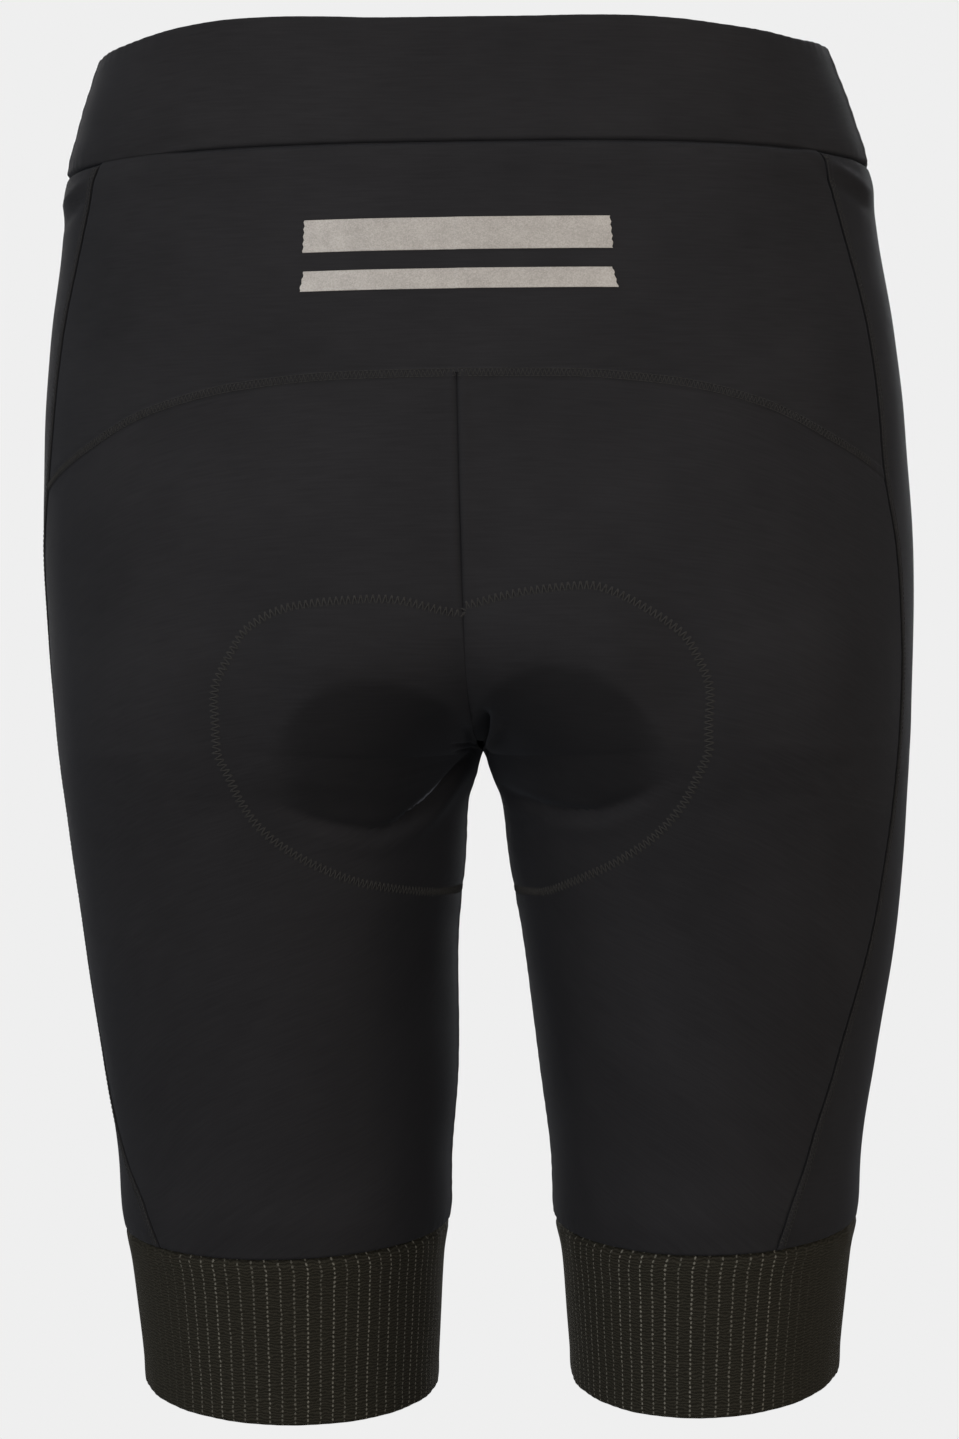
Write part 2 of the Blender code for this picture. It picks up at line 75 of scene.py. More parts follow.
sideSeam = (
    (48.0, -28.5, 0.5),
    (75.0, -24.5, 0.8),
    (110.0, -20.8, 1.2),
    (150.0, -18.8, 2.0),
    (172.0, -18.0, 3.2),
    (200.0, -15.0, 4.2),
    (240.0, -13.2, 4.8),
    (300.0, -16.0, 8.0),
    (350.0, -20.5, 11.5),
    (400.0, -28.0, 14.5),
    (420.0, -33.5, 14.0),
    (436.0, -39.5, 12.0),
    (452.0, -48.0, 9.5),
    (475.0, -55.0, 9.0),
)
yokeColumns = ("share", "drop")
yokeSeam = ((0.0, 136.5), (0.2, 137.0), (0.4, 140.0), (0.6, 147.5), (0.8, 160.5), (1.0, 173.0))

cut = {
    "bandHeight": 48.0,
    "bandSeam": -6.0,       # angle of the waistband's side seams
    "frontDip": 12.0,
    "dipFrom": -20.0,       # angles between which the rim dips towards the front
    "dipTo": 90.0,
    "crotchDrop": 277.0,
    "gripperDrop": 460.8,
    "hemDrop": 522.3,
    "leftLower": 2.0,
    "leftHem": 3.7,
    "gripperTilt": 0.105,
    "hemTilt": 0.125,
    "hemLean": 0.027,       # the hem is lower on the inner side of each leg
    "aroundStretch": 1.14,  # worn size over cut size
    "downStretch": 1.04,
}


def smoothCurve(knots, values, at):
    # monotone cubic through the knots, so nothing overshoots between two rows
    knots = np.asarray(knots, float)
    values = np.asarray(values, float)
    step = np.diff(knots)
    slope = np.diff(values) / step
    sameWay = slope[:-1] * slope[1:] > 0
    before = np.where(sameWay, slope[:-1], 1.0)
    after = np.where(sameWay, slope[1:], 1.0)
    weightBefore = 2 * step[1:] + step[:-1]
    weightAfter = step[1:] + 2 * step[:-1]
    blend = (weightBefore + weightAfter) / (weightBefore / before + weightAfter / after)
    tangent = np.zeros_like(values)
    tangent[1:-1] = np.where(sameWay, blend, 0.0)
    tangent[0] = slope[0]
    tangent[-1] = slope[-1]
    at = np.clip(at, knots[0], knots[-1])
    cell = np.clip(np.searchsorted(knots, at, side="right") - 1, 0, len(step) - 1)
    span = step[cell]
    part = (at - knots[cell]) / span
    rest = 1 - part
    return (values[cell] * (1 + 2 * part) * rest ** 2
            + tangent[cell] * span * part * rest ** 2
            + values[cell + 1] * part ** 2 * (3 - 2 * part)
            - tangent[cell + 1] * span * part ** 2 * rest)


def column(table, names, wanted, at):
    place = names.index(wanted)
    return smoothCurve([row[0] for row in table], [row[place] for row in table], at)


def ease(low, high, value):
    # 0 below low, 1 above high, smooth between
    part = np.clip((value - low) / (high - low), 0.0, 1.0)
    return part * part * (3 - 2 * part)


def section(side, drop):
    # centre and half-widths of the section at each drop
    swap = -side * column(uneven, unevenColumns, "swap", drop)
    outer = column(sections, sectionColumns, "outer", drop) + swap
    inner = column(sections, sectionColumns, "inner", drop) - swap
    back = column(sections, sectionColumns, "back", drop) + swap
    front = column(sections, sectionColumns, "front", drop) - swap
    square = column(sections, sectionColumns, "square", drop)
    return (outer + inner) / 2, (outer - inner) / 2, (front + back) / 2, (front - back) / 2, square


def forkAngle(side, drop):
    centre, half = section(side, drop)[:2]
    return np.arccos(np.clip(-centre / half, -1.0, 1.0))


def bareSkin(side, angle, drop):
    # x = centre + half cos(angle), y = middle + depth sin(angle) made a little square, z = -drop
    centre, half, middle, depth, square = section(side, drop)
    x = centre + half * np.cos(angle)
    y = middle + depth * np.sin(angle) * (1 + square * np.sin(2 * angle) ** 2)
    return np.stack([x, y, -drop * np.ones_like(x)], axis=-1)


def skinNormal(side, angle, drop):
    # cross product of a small step down and a small step across
    turn, fall = 0.002, 0.5
    across = bareSkin(side, angle + turn, drop) - bareSkin(side, angle - turn, drop)
    down = bareSkin(side, angle, drop + fall) - bareSkin(side, angle, drop - fall)
    normal = np.cross(down, across)
    return normal / np.linalg.norm(normal, axis=-1, keepdims=True)


def sway(drop):
    return column(swayTable, swayColumns, "shift", drop)


def seamAngle(side, share, drop):
    # share 0 is mid back or inseam, 1 the side seam, 2 mid front or inseam
    fork = forkAngle(side, drop)
    turn = column(sideSeam, sideSeamColumns, "turn", drop)
    seam = np.radians(column(sideSeam, sideSeamColumns, "angle", drop) - side * turn)
    back = -fork + (seam + fork) * share
    front = seam + (fork - seam) * (share - 1)
    return np.where(share <= 1, back, front)


def rimDrop(angle):
    # the rim dips smoothly from the sides to the middle of the front
    return cut["frontDip"] * ease(math.radians(cut["dipFrom"]), math.radians(cut["dipTo"]), angle)


rimTrimColumns = ("x", "left", "right")     # the rim stands a little uneven behind: x outwards, extra drop
rimTrim = ((0.0, 0.2, 0.2), (28.0, 0.0, 0.3), (47.0, -0.8, 0.1), (66.0, -1.6, 0.0), (85.0, -1.9, 0.4),
           (104.0, -1.2, 1.6), (118.0, -0.1, 2.2), (130.0, 1.1, 2.9), (142.0, 1.6, 1.4))


def unevenRim(side, angle):
    x = bareSkin(side, angle, np.zeros_like(angle))[..., 0]
    extra = column(rimTrim, rimTrimColumns, "left" if side < 0 else "right", x)
    return extra * (1 - ease(math.radians(-8), math.radians(35), angle))


def bandSeam(side, share):
    # lower edge of the waistband above a panel's column
    found = np.full_like(share, cut["bandHeight"])
    for _ in range(3):
        found = cut["bandHeight"] + rimDrop(seamAngle(side, share, found))
    return found


def yokeDrop(share):
    return column(yokeSeam, yokeColumns, "drop", share)


def level(side, angleAt, drop, tilt, lean=0.0, leftLower=cut["leftLower"]):
    # drop of a tilted plane where the skin meets it, found in four rounds
    start = drop + leftLower * (side < 0)
    found = np.full_like(angleAt(drop), start)
    for _ in range(4):
        point = bareSkin(side, angleAt(found), found)
        found = start - tilt * point[..., 1] - lean * (point[..., 0] - 82.0)
    return found


# Seat pad felt through the cloth: edges of the two foam lobes, x outwards and drop
lobeColumns = ("x", "top", "bottom", "crease")
lobes = {
    -1: ((1.0, 264.0, 277.0, 1.2), (9.0, 256.0, 286.0, 1.7), (17.0, 251.0, 295.0, 1.6),
         (26.0, 248.0, 302.5, 1.1), (37.0, 247.0, 307.0, 0.9), (52.0, 251.0, 304.5, 0.8),
         (63.0, 259.0, 300.5, 0.6), (75.0, 279.0, 294.0, 0.3)),
    1: ((1.0, 260.0, 283.0, 0.3), (9.0, 251.5, 292.5, 0.6), (20.0, 245.0, 297.0, 0.8),
        (30.0, 242.5, 299.5, 0.9), (44.0, 245.0, 300.5, 1.0), (57.0, 252.0, 297.0, 0.8),
        (66.0, 262.0, 292.5, 0.5), (76.0, 279.0, 287.0, 0.3)),
}
lobeForm = {
    "rise": 8.0,        # how far the lobes' upper edge stands out
    "edge": 247.0,      # the cloth swells down to this drop
    "swell": 27.0,
    "bend": 0.11,       # softness of the upper edge, as a share of the lobe's height
    "shadeStrength": 0.32,     # strength of the shade painted over the lobes, whose cloth faces downwards
    "trough": 2.2,      # depth and breadth of the crease under each lobe
    "troughWide": 2.1,
    "lip": 1.3,         # height, place and breadth of the swell below that crease
    "lipDrop": 5.5,
    "lipWide": 3.8,
}

# Creases: side, -1 behind or 1 in front, depth, width, and points as x outwards and drop
creases = (
    (1, -1, 7.5, 2.2, ((8.5, 259), (6.5, 264), (4.5, 270), (1.0, 277))),
    (1, -1, -2.6, 1.5, ((15.0, 264), (9.5, 269), (4.0, 275))),
    (1, -1, 1.8, 1.5, ((13.0, 305), (21.0, 303.5), (32.0, 301.0), (46.0, 300.0))),
    (-1, -1, 2.2, 2.2, ((6.0, 263), (3.5, 268), (1.0, 275))),
    (-1, -1, 1.3, 0.9, ((10.0, 271.5), (5.0, 273.0), (1.0, 275.5))),
    (-1, -1, 1.2, 0.8, ((9.0, 275.0), (5.0, 275.8), (1.0, 277.5))),
    (-1, -1, 2.6, 1.8, ((3.0, 278), (9.0, 286), (17.0, 295), (26.0, 302))),
    (-1, -1, 0.9, 2.4, ((88.0, 43.0), (97.0, 43.5), (106.0, 44.5), (116.0, 46.0))),
    (1, -1, -1.1, 2.3, ((131.0, 48.5), (142.0, 53.0), (155.0, 59.5), (162.0, 64.0))),
    (1, -1, 0.9, 2.2, ((138.0, 57.5), (150.0, 63.0), (161.0, 70.0))),
    (-1, -1, -1.0, 2.0, ((148.0, 55.0), (156.0, 59.5), (163.0, 63.5))),
    (-1, -1, 0.8, 2.2, ((147.0, 61.0), (155.0, 66.0), (163.0, 71.0))),
    (1, -1, 0.4, 4.5, ((118.0, 150.0), (132.0, 146.0), (145.0, 149.0))),
    (-1, -1, 0.5, 4.0, ((133.0, 92.0), (141.0, 104.0), (152.0, 112.0))),
    (-1, -1, 0.4, 4.5, ((128.0, 118.0), (141.0, 124.0), (156.0, 121.0))),
    (1, 1, 1.5, 3.2, ((7.0, 272), (28.0, 262), (58.0, 259))),
    (1, 1, 0.9, 3.6, ((6.0, 262), (20.0, 247), (39.0, 236))),
    (1, 1, 1.0, 3.8, ((14.0, 289), (40.0, 293), (78.0, 286))),
    (1, 1, 0.6, 5.5, ((60.0, 330), (92.0, 338), (120.0, 333))),
    (-1, 1, 1.2, 3.4, ((7.0, 270), (33.0, 259), (66.0, 261))),
    (-1, 1, 1.0, 3.0, ((6.0, 258), (18.0, 241), (31.0, 229))),
    (-1, 1, 1.3, 3.4, ((12.0, 293), (36.0, 298), (70.0, 294))),
    (-1, 1, 0.5, 6.0, ((44.0, 352), (80.0, 347), (112.0, 352))),
    (1, 1, 0.6, 6.0, ((70.0, 108), (100.0, 116), (136.0, 112))),
    (-1, 1, 0.5, 6.5, ((62.0, 120), (98.0, 112), (128.0, 118))),
)


def pathPoints(path, count):
    # smooth curve through a few points, by its chord length
    path = np.asarray(path, float)
    chord = np.concatenate([[0], np.cumsum(np.linalg.norm(np.diff(path, axis=0), axis=1))])
    at = np.linspace(0, chord[-1], count)
    return np.stack([smoothCurve(chord, path[:, k], at) for k in range(path.shape[1])], axis=-1)


def creaseHeight(side, point, angle):
    # each crease is a trough of bell-shaped section that fades out towards its two ends
    height = np.zeros(point.shape[:-1])
    flat = np.stack([point[..., 0], -point[..., 2]], axis=-1)
    steps = 28
    fade = np.sin(np.pi * np.linspace(0.04, 0.96, steps)) ** 0.6
    for itsSide, face, depth, width, points in creases:
        if itsSide != side:
            continue
        path = pathPoints(points, steps)
        gap = np.linalg.norm(flat[..., None, :] - path, axis=-1)
        nearest = gap.argmin(axis=-1)
        distance = gap.min(axis=-1)
        seen = ease(0.0, 0.2, face * np.sin(angle))
        height -= depth * np.exp(-(distance / width) ** 2) * fade[nearest] * seen
    return height


padOutline = {       # angle in degrees and drop, from the middle of the back round under the leg to the front
    -1: ((-118, 226), (-110, 225), (-95, 220.5), (-81, 223.5),
         (-75.3, 234), (-75.2, 248), (-79.5, 265.5), (-86, 284),
         (-95, 304.5), (-107.4, 317.5), (-128, 327.5), (-158, 331.5), (-200, 331), (-217, 321),
         (-229, 300), (-235, 274), (-240, 250), (-249, 226)),
    1: ((-118, 225), (-108, 222), (-96, 218), (-87, 216.5),
        (-80, 226), (-76.5, 238), (-77.3, 250), (-83, 267.5),
        (-91, 288.5), (-104, 309.5), (-124, 323.5), (-150, 331.5), (-200, 331), (-217, 321),
        (-229, 300), (-235, 274), (-240, 250), (-249, 226)),
}
padGroove = {"depth": 0.55, "width": 2.9}
looseCloth = {"belowBand": 0.9, "bandReach": 6.0, "wave": 0.16, "slimLeft": 1.1}


def padPath(side, count):
    # the pad's outline as angles and drops, kept on the panel beside the middle seams
    outline = pathPoints(padOutline[side], count)
    angle, drop = np.radians(outline[:, 0]), outline[:, 1]
    first = np.arange(count) < count // 8
    return np.where(first, np.maximum(angle, 0.004 - forkAngle(side, drop)), angle), drop


def padGrooveHeight(side, point):
    # a soft bell-shaped trough along the stitched outline, by distance to its points
    path = bareSkin(side, *padPath(side, 320))
    flat = point.reshape(-1, 3)
    apart = (flat ** 2).sum(1)[:, None] + (path ** 2).sum(1) - 2 * flat @ path.T
    distance = np.sqrt(np.clip(apart.min(axis=1), 0, None)).reshape(point.shape[:-1])
    return -padGroove["depth"] * np.exp(-(distance / padGroove["width"]) ** 2)


def lobeShape(side, angle, drop):
    # swell down to the upper edge, then an even fall to the crease; also a mask for the shade painted over
    # the lobes
    x = bareSkin(side, angle, drop)[..., 0]
    top = column(lobes[side], lobeColumns, "top", x)
    bottom = column(lobes[side], lobeColumns, "bottom", x)
    crease = column(lobes[side], lobeColumns, "crease", x)
    behind = ease(0.1, 0.6, -np.sin(angle))
    wide = (1 - ease(50.0, 86.0, x)) * behind
    above = np.clip(np.minimum(top, lobeForm["edge"]) - drop, 0, None)
    swell = np.exp(-(above / lobeForm["swell"]) ** 2)
    fall = (drop - top) / (bottom - top)
    bend = lobeForm["bend"]
    soft = bend * np.logaddexp(0.0, np.clip(fall, -3, 3) / bend)
    lobe = lobeForm["rise"] * wide * swell * np.clip(1 - soft, 0, None)
    below = drop - bottom
    trough = np.exp(-((below + 0.4) / lobeForm["troughWide"]) ** 2)
    lip = np.exp(-((below - lobeForm["lipDrop"]) / lobeForm["lipWide"]) ** 2)
    lobe = lobe - wide * lobeForm["trough"] * crease * trough
    lobe = lobe + wide * lobeForm["lip"] * crease * lip
    # mask for the shade painted over the lobes, where their cloth faces downwards
    inwards = ease(5.0, 14.0, x) * (1 - ease(60.0, 76.0, x)) * behind
    paintedLobeShade = inwards * ease(-0.05, 0.07, fall) * (1 - ease(0.93, 1.03, fall))
    return lobe, paintedLobeShade


def clothRelief(side, angle, drop):
    # how far the cloth stands off the smooth skin: lobes, hand-placed creases, the step below
    # the band and faint unevenness
    point = bareSkin(side, angle, drop)
    x = point[..., 0]
    height = lobeShape(side, angle, drop)[0] + creaseHeight(side, point, angle)
    height = height + padGrooveHeight(side, point)
    underBand = drop - cut["bandHeight"] - rimDrop(angle)
    step = np.exp(-((underBand - 8.0) / looseCloth["bandReach"]) ** 2) * ease(-0.5, 2.0, underBand)
    height = height + looseCloth["belowBand"] * step
    wave = (np.sin(x * 0.071 + drop * 0.043 + side) * np.sin(drop * 0.031 - x * 0.052 + 2.0 * side)
            + 0.6 * np.sin(angle * 9.0 + drop * 0.087) * np.sin(drop * 0.059 + 1.3))
    slim = ease(150.0, 230.0, drop) * (1 - ease(400.0, 450.0, drop)) * np.exp(-((angle + 0.05) / 0.5) ** 2)
    return height + looseCloth["wave"] * wave - looseCloth["slimLeft"] * slim * (side < 0)


def placeCloth(side, angle, drop, offset):
    # skin, relief and an offset along the normal; x turns to the right side and sways
    normal = skinNormal(side, angle, drop)
    point = bareSkin(side, angle, drop) + normal * (clothRelief(side, angle, drop) + offset)[..., None]
    x = np.maximum(point[..., 0], 0.0) * side + sway(-point[..., 2])
    return np.stack([x, point[..., 1], point[..., 2]], axis=-1)


def crowded(count, strength=0.9):
    # shares from 0 to 1 whose steps shrink towards both ends
    t = np.linspace(0, 1, count + 1)
    return t - strength * np.sin(2 * np.pi * t) / (2 * np.pi)


def lengths(points, axis):
    # running length of a grid's lines along one axis
    step = np.linalg.norm(np.diff(points, axis=axis), axis=-1)
    zero = np.zeros_like(np.take(step, [0], axis=axis))
    return np.concatenate([zero, np.cumsum(step, axis=axis)], axis=axis)


def edgeProfile(kind, distance, run):
    # height of the cloth at a distance from a seam; run is the place along it, for puckers
    pucker = np.sin(run * 0.92 + 1.1 * np.sin(run * 0.31)) * np.exp(-(distance / 4.5) ** 2)
    if kind == "cover":     # flat join under cover stitches
        return (0.14 * (1 - ease(1.4, 2.2, distance))
                - 0.16 * np.exp(-((distance - 2.4) / 0.8) ** 2) + 0.05 * pucker)
    if kind == "low":       # cloth beside a ridge: a dark narrow line
        return -0.9 * np.exp(-(distance / 1.1) ** 2) + 0.06 * pucker
    if kind == "raised":    # seam allowance folded to this side
        return 0.45 * np.exp(-((distance - 1.2) / 1.5) ** 2) - 0.3 * np.exp(-distance / 0.4) + 0.07 * pucker
    if kind == "plain":     # narrow valley with soft shoulders
        return -1.0 * np.exp(-distance / 0.7) + 0.3 * np.exp(-((distance - 2.6) / 1.7) ** 2) + 0.09 * pucker
    if kind == "ridge":     # seam allowance felt as a ridge, with a fine line in its middle
        return 0.9 * np.exp(-(distance / 2.2) ** 2) - 1.3 * np.exp(-distance / 0.6) + 0.1 * pucker
    if kind == "under":     # goes in under the fold above it
        return -1.9 * np.exp(-(distance / 1.3) ** 2) + 0.08 * pucker
    if kind == "fold":      # turned edge, a quarter round
        radius = 1.3
        inside = np.clip(radius - distance, 0, radius)
        return np.sqrt(radius ** 2 - inside ** 2) - radius + 0.12 * pucker
    return 0.0 * distance


def addObject(name, mesh):
    added = bpy.data.objects.new(name, mesh)
    scene.collection.objects.link(added)
    return added


def shellMesh(name, outside, inside, uv, material, ring=False, roundness=(0.0, 0.0)):
    # closed thin shell: rows outside, a middle row at the lower rim, rows inside, one at the upper rim
    if ring:
        outside = np.concatenate([outside, outside[:, :1]], axis=1)
        inside = np.concatenate([inside, inside[:, :1]], axis=1)
    rows, cols = outside.shape[:2]

    def rim(edge, beside, other, amount):
        way = edge - beside
        way /= np.linalg.norm(way, axis=-1, keepdims=True)
        return (edge + other) / 2 + way * amount

    upper = rim(outside[0], outside[1], inside[0], roundness[0])[None]
    lower = rim(outside[-1], outside[-2], inside[-1], roundness[1])[None]
    points = np.concatenate([outside, lower, inside[::-1], upper])
    places = np.concatenate([uv, uv[-1:], uv[::-1], uv[:1]])
    total = len(points)
    number = np.arange(total * cols).reshape(total, cols)
    loop = np.concatenate([number, number[:1]])
    quads = np.stack([loop[:-1, :-1], loop[1:, :-1], loop[1:, 1:], loop[:-1, 1:]], axis=-1).reshape(-1, 4)
    faces = quads.tolist()
    corner = quads.ravel()
    if not ring:
        inner = 2 * rows - np.arange(rows)      # row of the inner wall facing each outer row
        for col, flip in ((0, 1), (cols - 1, -1)):
            out, back = number[:rows, col], number[inner, col]
            strip = np.stack([out[:-1], back[:-1], back[1:], out[1:]], axis=-1)[:, ::flip]
            ends = np.array([[out[-1], back[-1], number[rows, col]],
                             [out[0], number[total - 1, col], back[0]]])[:, ::flip]
            faces += strip.tolist() + ends.tolist()
            corner = np.concatenate([corner, strip.ravel(), ends.ravel()])
    flatUv = places.reshape(-1, 2)[corner]
    points = points.reshape(-1, 3)
    if ring:        # the last column is the first again
        merged = np.arange(total * cols).reshape(total, cols)
        merged = merged - np.arange(total)[:, None]
        merged[:, -1] = merged[:, 0]
        keep = np.ones((total, cols), bool)
        keep[:, -1] = False
        faces = merged.ravel()[quads].tolist()
        points = points[keep.ravel()]
    mesh = bpy.data.meshes.new(name)
    mesh.from_pydata((points * mm).tolist(), [], faces)
    layer = mesh.uv_layers.new(name="UVMap")
    layer.data.foreach_set("uv", flatUv.astype(np.float32).ravel())
    mesh.materials.append(material)
    mesh.shade_smooth()
    mesh.set_sharp_from_angle(angle=math.radians(50))
    piece = addObject(name, mesh)
    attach(piece, "root")
    return piece


def paintPoints(piece, name, values):
    layer = piece.data.attributes.new(name, "FLOAT", "POINT")
    layer.data.foreach_set("value", values.astype(np.float32).ravel())


def panelGrid(side, angle, drop, thick, edges, topSoft=1.0):
    # outer and inner walls of one panel; edges names the seam kind at (top, foot, first, last)
    bare = bareSkin(side, angle, drop)
    down = lengths(bare, 0)
    across = lengths(bare, 1)
    top, foot, first, last = edges
    height = topSoft * edgeProfile(top, down, across) + edgeProfile(foot, down[-1:] - down, across)
    height = height + edgeProfile(first, across, down) + edgeProfile(last, across[:, -1:] - across, down)
    outside = placeCloth(side, angle, drop, height)
    inside = placeCloth(side, angle, drop, 0.35 * height - thick)
    uv = np.stack([across, down], axis=-1)
    return outside, inside, uv


# Materials: patterns read the piece's own UV map, which is in millimetres round and down it
def mathNode(tree, operation, first, second=0.0, third=0.0):
    node = tree.nodes.new("ShaderNodeMath")
    node.operation = operation
    for socket, value in zip(node.inputs, (first, second, third)):
        if isinstance(value, (int, float)):
            socket.default_value = value
        else:
            tree.links.new(value, socket)
    return node.outputs[0]


def newGroup(name, inputs, outputs):
    group = bpy.data.node_groups.new(name, "ShaderNodeTree")
    for label, value in inputs:
        socket = group.interface.new_socket(label, in_out="INPUT", socket_type="NodeSocketFloat")
        socket.default_value = value
    for label in outputs:
        group.interface.new_socket(label, in_out="OUTPUT", socket_type="NodeSocketFloat")
    return group, group.nodes.new("NodeGroupInput"), group.nodes.new("NodeGroupOutput")


def uvParts(tree):
    place = tree.nodes.new("ShaderNodeUVMap")
    place.uv_map = "UVMap"
    split = tree.nodes.new("ShaderNodeSeparateXYZ")
    tree.links.new(place.outputs["UV"], split.inputs[0])
    return place.outputs["UV"], split.outputs["X"], split.outputs["Y"]


def noiseNode(tree, vector, scale, detail):
    node = tree.nodes.new("ShaderNodeTexNoise")
    node.inputs["Scale"].default_value = scale
    node.inputs["Detail"].default_value = detail
    tree.links.new(vector, node.inputs["Vector"])
    return node.outputs[0]


def makeKnitLoops():
    # two leaning legs to each stitch: high along the legs, low between wales and courses
    group, given, result = newGroup("knitLoops", (("Wale", 0.5), ("Course", 0.4)), ("Height", "GapShade"))
    _, u, v = uvParts(group)
    wale = mathNode(group, "DIVIDE", u, given.outputs["Wale"])
    across = mathNode(group, "ABSOLUTE", mathNode(group, "SUBTRACT", mathNode(group, "FRACT", wale), 0.5))
    course = mathNode(group, "ADD", mathNode(group, "DIVIDE", v, given.outputs["Course"]), across)
    turn = mathNode(group, "MULTIPLY", course, 2 * math.pi)
    loop = mathNode(group, "MULTIPLY_ADD", mathNode(group, "SINE", turn), 0.5, 0.5)
    leg = mathNode(group, "SUBTRACT", 1.0, mathNode(group, "MULTIPLY", mathNode(
        group, "ABSOLUTE", mathNode(group, "SUBTRACT", across, 0.25)), 4.0))
    height = mathNode(group, "MULTIPLY", leg, mathNode(group, "MULTIPLY_ADD", loop, 0.5, 0.5))
    group.links.new(height, result.inputs["Height"])
    # the low places between loops, used to paint shade into the knit
    group.links.new(mathNode(group, "SUBTRACT", 1.0, height), result.inputs["GapShade"])
    return group


def makeClothShade():
    # large soft mottling, and fine streaks that run round the body with the courses
    group, given, result = newGroup(
        "clothShade", (("Patch", 0.02), ("Streak", 1.4)), ("Mottle", "Streaks", "Fuzz"))
    uv, u, v = uvParts(group)
    patch = group.nodes.new("ShaderNodeTexNoise")
    patch.inputs["Detail"].default_value = 3.0
    group.links.new(uv, patch.inputs["Vector"])
    group.links.new(given.outputs["Patch"], patch.inputs["Scale"])
    joined = group.nodes.new("ShaderNodeCombineXYZ")
    group.links.new(mathNode(group, "MULTIPLY", u, 0.05), joined.inputs["X"])
    group.links.new(v, joined.inputs["Y"])
    streak = group.nodes.new("ShaderNodeTexNoise")
    streak.inputs["Detail"].default_value = 2.0
    group.links.new(joined.outputs[0], streak.inputs["Vector"])
    group.links.new(given.outputs["Streak"], streak.inputs["Scale"])
    fuzz = noiseNode(group, uv, 2.6, 2.0)
    group.links.new(patch.outputs[0], result.inputs["Mottle"])
    group.links.new(streak.outputs[0], result.inputs["Streaks"])
    group.links.new(fuzz, result.inputs["Fuzz"])
    return group


knitLoops = makeKnitLoops()
clothShade = makeClothShade()


def useGroup(tree, group, **values):
    node = tree.nodes.new("ShaderNodeGroup")
    node.node_tree = group
    for label, value in values.items():
        node.inputs[label].default_value = value
    return node.outputs


def blendColour(tree, amount, first, second):
    node = tree.nodes.new("ShaderNodeMix")
    node.data_type = "RGBA"
    if isinstance(amount, float):
        node.inputs["Factor"].default_value = amount
    else:
        tree.links.new(amount, node.inputs["Factor"])
    for label, value in (("A", first), ("B", second)):
        socket = [s for s in node.inputs if s.name == label and s.type == "RGBA"][0]
        if isinstance(value, tuple):
            socket.default_value = (*value, 1.0)
        else:
            tree.links.new(value, socket)
    return [s for s in node.outputs if s.type == "RGBA"][0]


def spreadOf(tree, value, low, high):
    node = tree.nodes.new("ShaderNodeMapRange")
    node.inputs["From Min"].default_value = low
    node.inputs["From Max"].default_value = high
    tree.links.new(value, node.inputs["Value"])
    return node.outputs[0]


def newMaterial(name, roughness, specular, sheen, sheenTint, sheenRoughness=0.5):
    material = bpy.data.materials.new(name)
    material.use_nodes = True
    shader = material.node_tree.nodes["Principled BSDF"]
    shader.inputs["Roughness"].default_value = roughness
    shader.inputs["Specular IOR Level"].default_value = specular
    shader.inputs["Sheen Weight"].default_value = sheen
    shader.inputs["Sheen Roughness"].default_value = sheenRoughness
    shader.inputs["Sheen Tint"].default_value = (*sheenTint, 1.0)
    return material, material.node_tree, shader


def setBump(tree, shader, height, strength, distance):
    bump = tree.nodes.new("ShaderNodeBump")
    bump.inputs["Strength"].default_value = strength
    bump.inputs["Distance"].default_value = distance * mm
    tree.links.new(height, bump.inputs["Height"])
    tree.links.new(bump.outputs["Normal"], shader.inputs["Normal"])


def makeJersey(name, dark, light, wale, course, roughness, sheen):
    # stretch knit: fine loops, streaks along the courses and a soft mottling; shade is painted into the gaps
    # between loops and over the seat lobes
    material, tree, shader = newMaterial(name, roughness, 0.05, sheen, (0.80, 0.86, 1.0), 0.45)
    loops = useGroup(tree, knitLoops, Wale=wale, Course=course)
    shade = useGroup(tree, clothShade, Patch=0.017, Streak=1.3)
    tone = mathNode(tree, "MULTIPLY_ADD", shade["Streaks"], 0.9,
                    mathNode(tree, "MULTIPLY", shade["Mottle"], 0.9))
    colour = blendColour(tree, spreadOf(tree, tone, 0.62, 1.18), dark, light)
    # painted shade in the gaps between the loops
    loopShadeColour = tuple(0.45 * c for c in dark)
    colour = blendColour(tree, mathNode(tree, "MULTIPLY", loops["GapShade"], 0.35), colour, loopShadeColour)
    # painted shade over the seat lobes, read from a point attribute
    paintedLobeShade = tree.nodes.new("ShaderNodeAttribute")
    paintedLobeShade.attribute_name = "paintedLobeShade"
    colour = blendColour(tree, mathNode(
        tree, "MULTIPLY", paintedLobeShade.outputs["Fac"], lobeForm["shadeStrength"]), colour, (0.001, 0.001, 0.001))
    tree.links.new(colour, shader.inputs["Base Color"])
    rough = mathNode(tree, "MULTIPLY_ADD", shade["Fuzz"], 0.25, roughness - 0.12)
    tree.links.new(rough, shader.inputs["Roughness"])
    height = mathNode(tree, "MULTIPLY_ADD", shade["Fuzz"], 0.5, loops["Height"])
    setBump(tree, shader, height, 0.35, 0.06)
    return material


gripperLook = {
    "ground": (0.0092, 0.0081, 0.0056),
    "rib": (0.0245, 0.0220, 0.0160),
    "dot": (0.135, 0.126, 0.103),
    "ribPitch": 1.15,
    "columnPitch": 5.1,
    "dotPitch": 1.78,
}


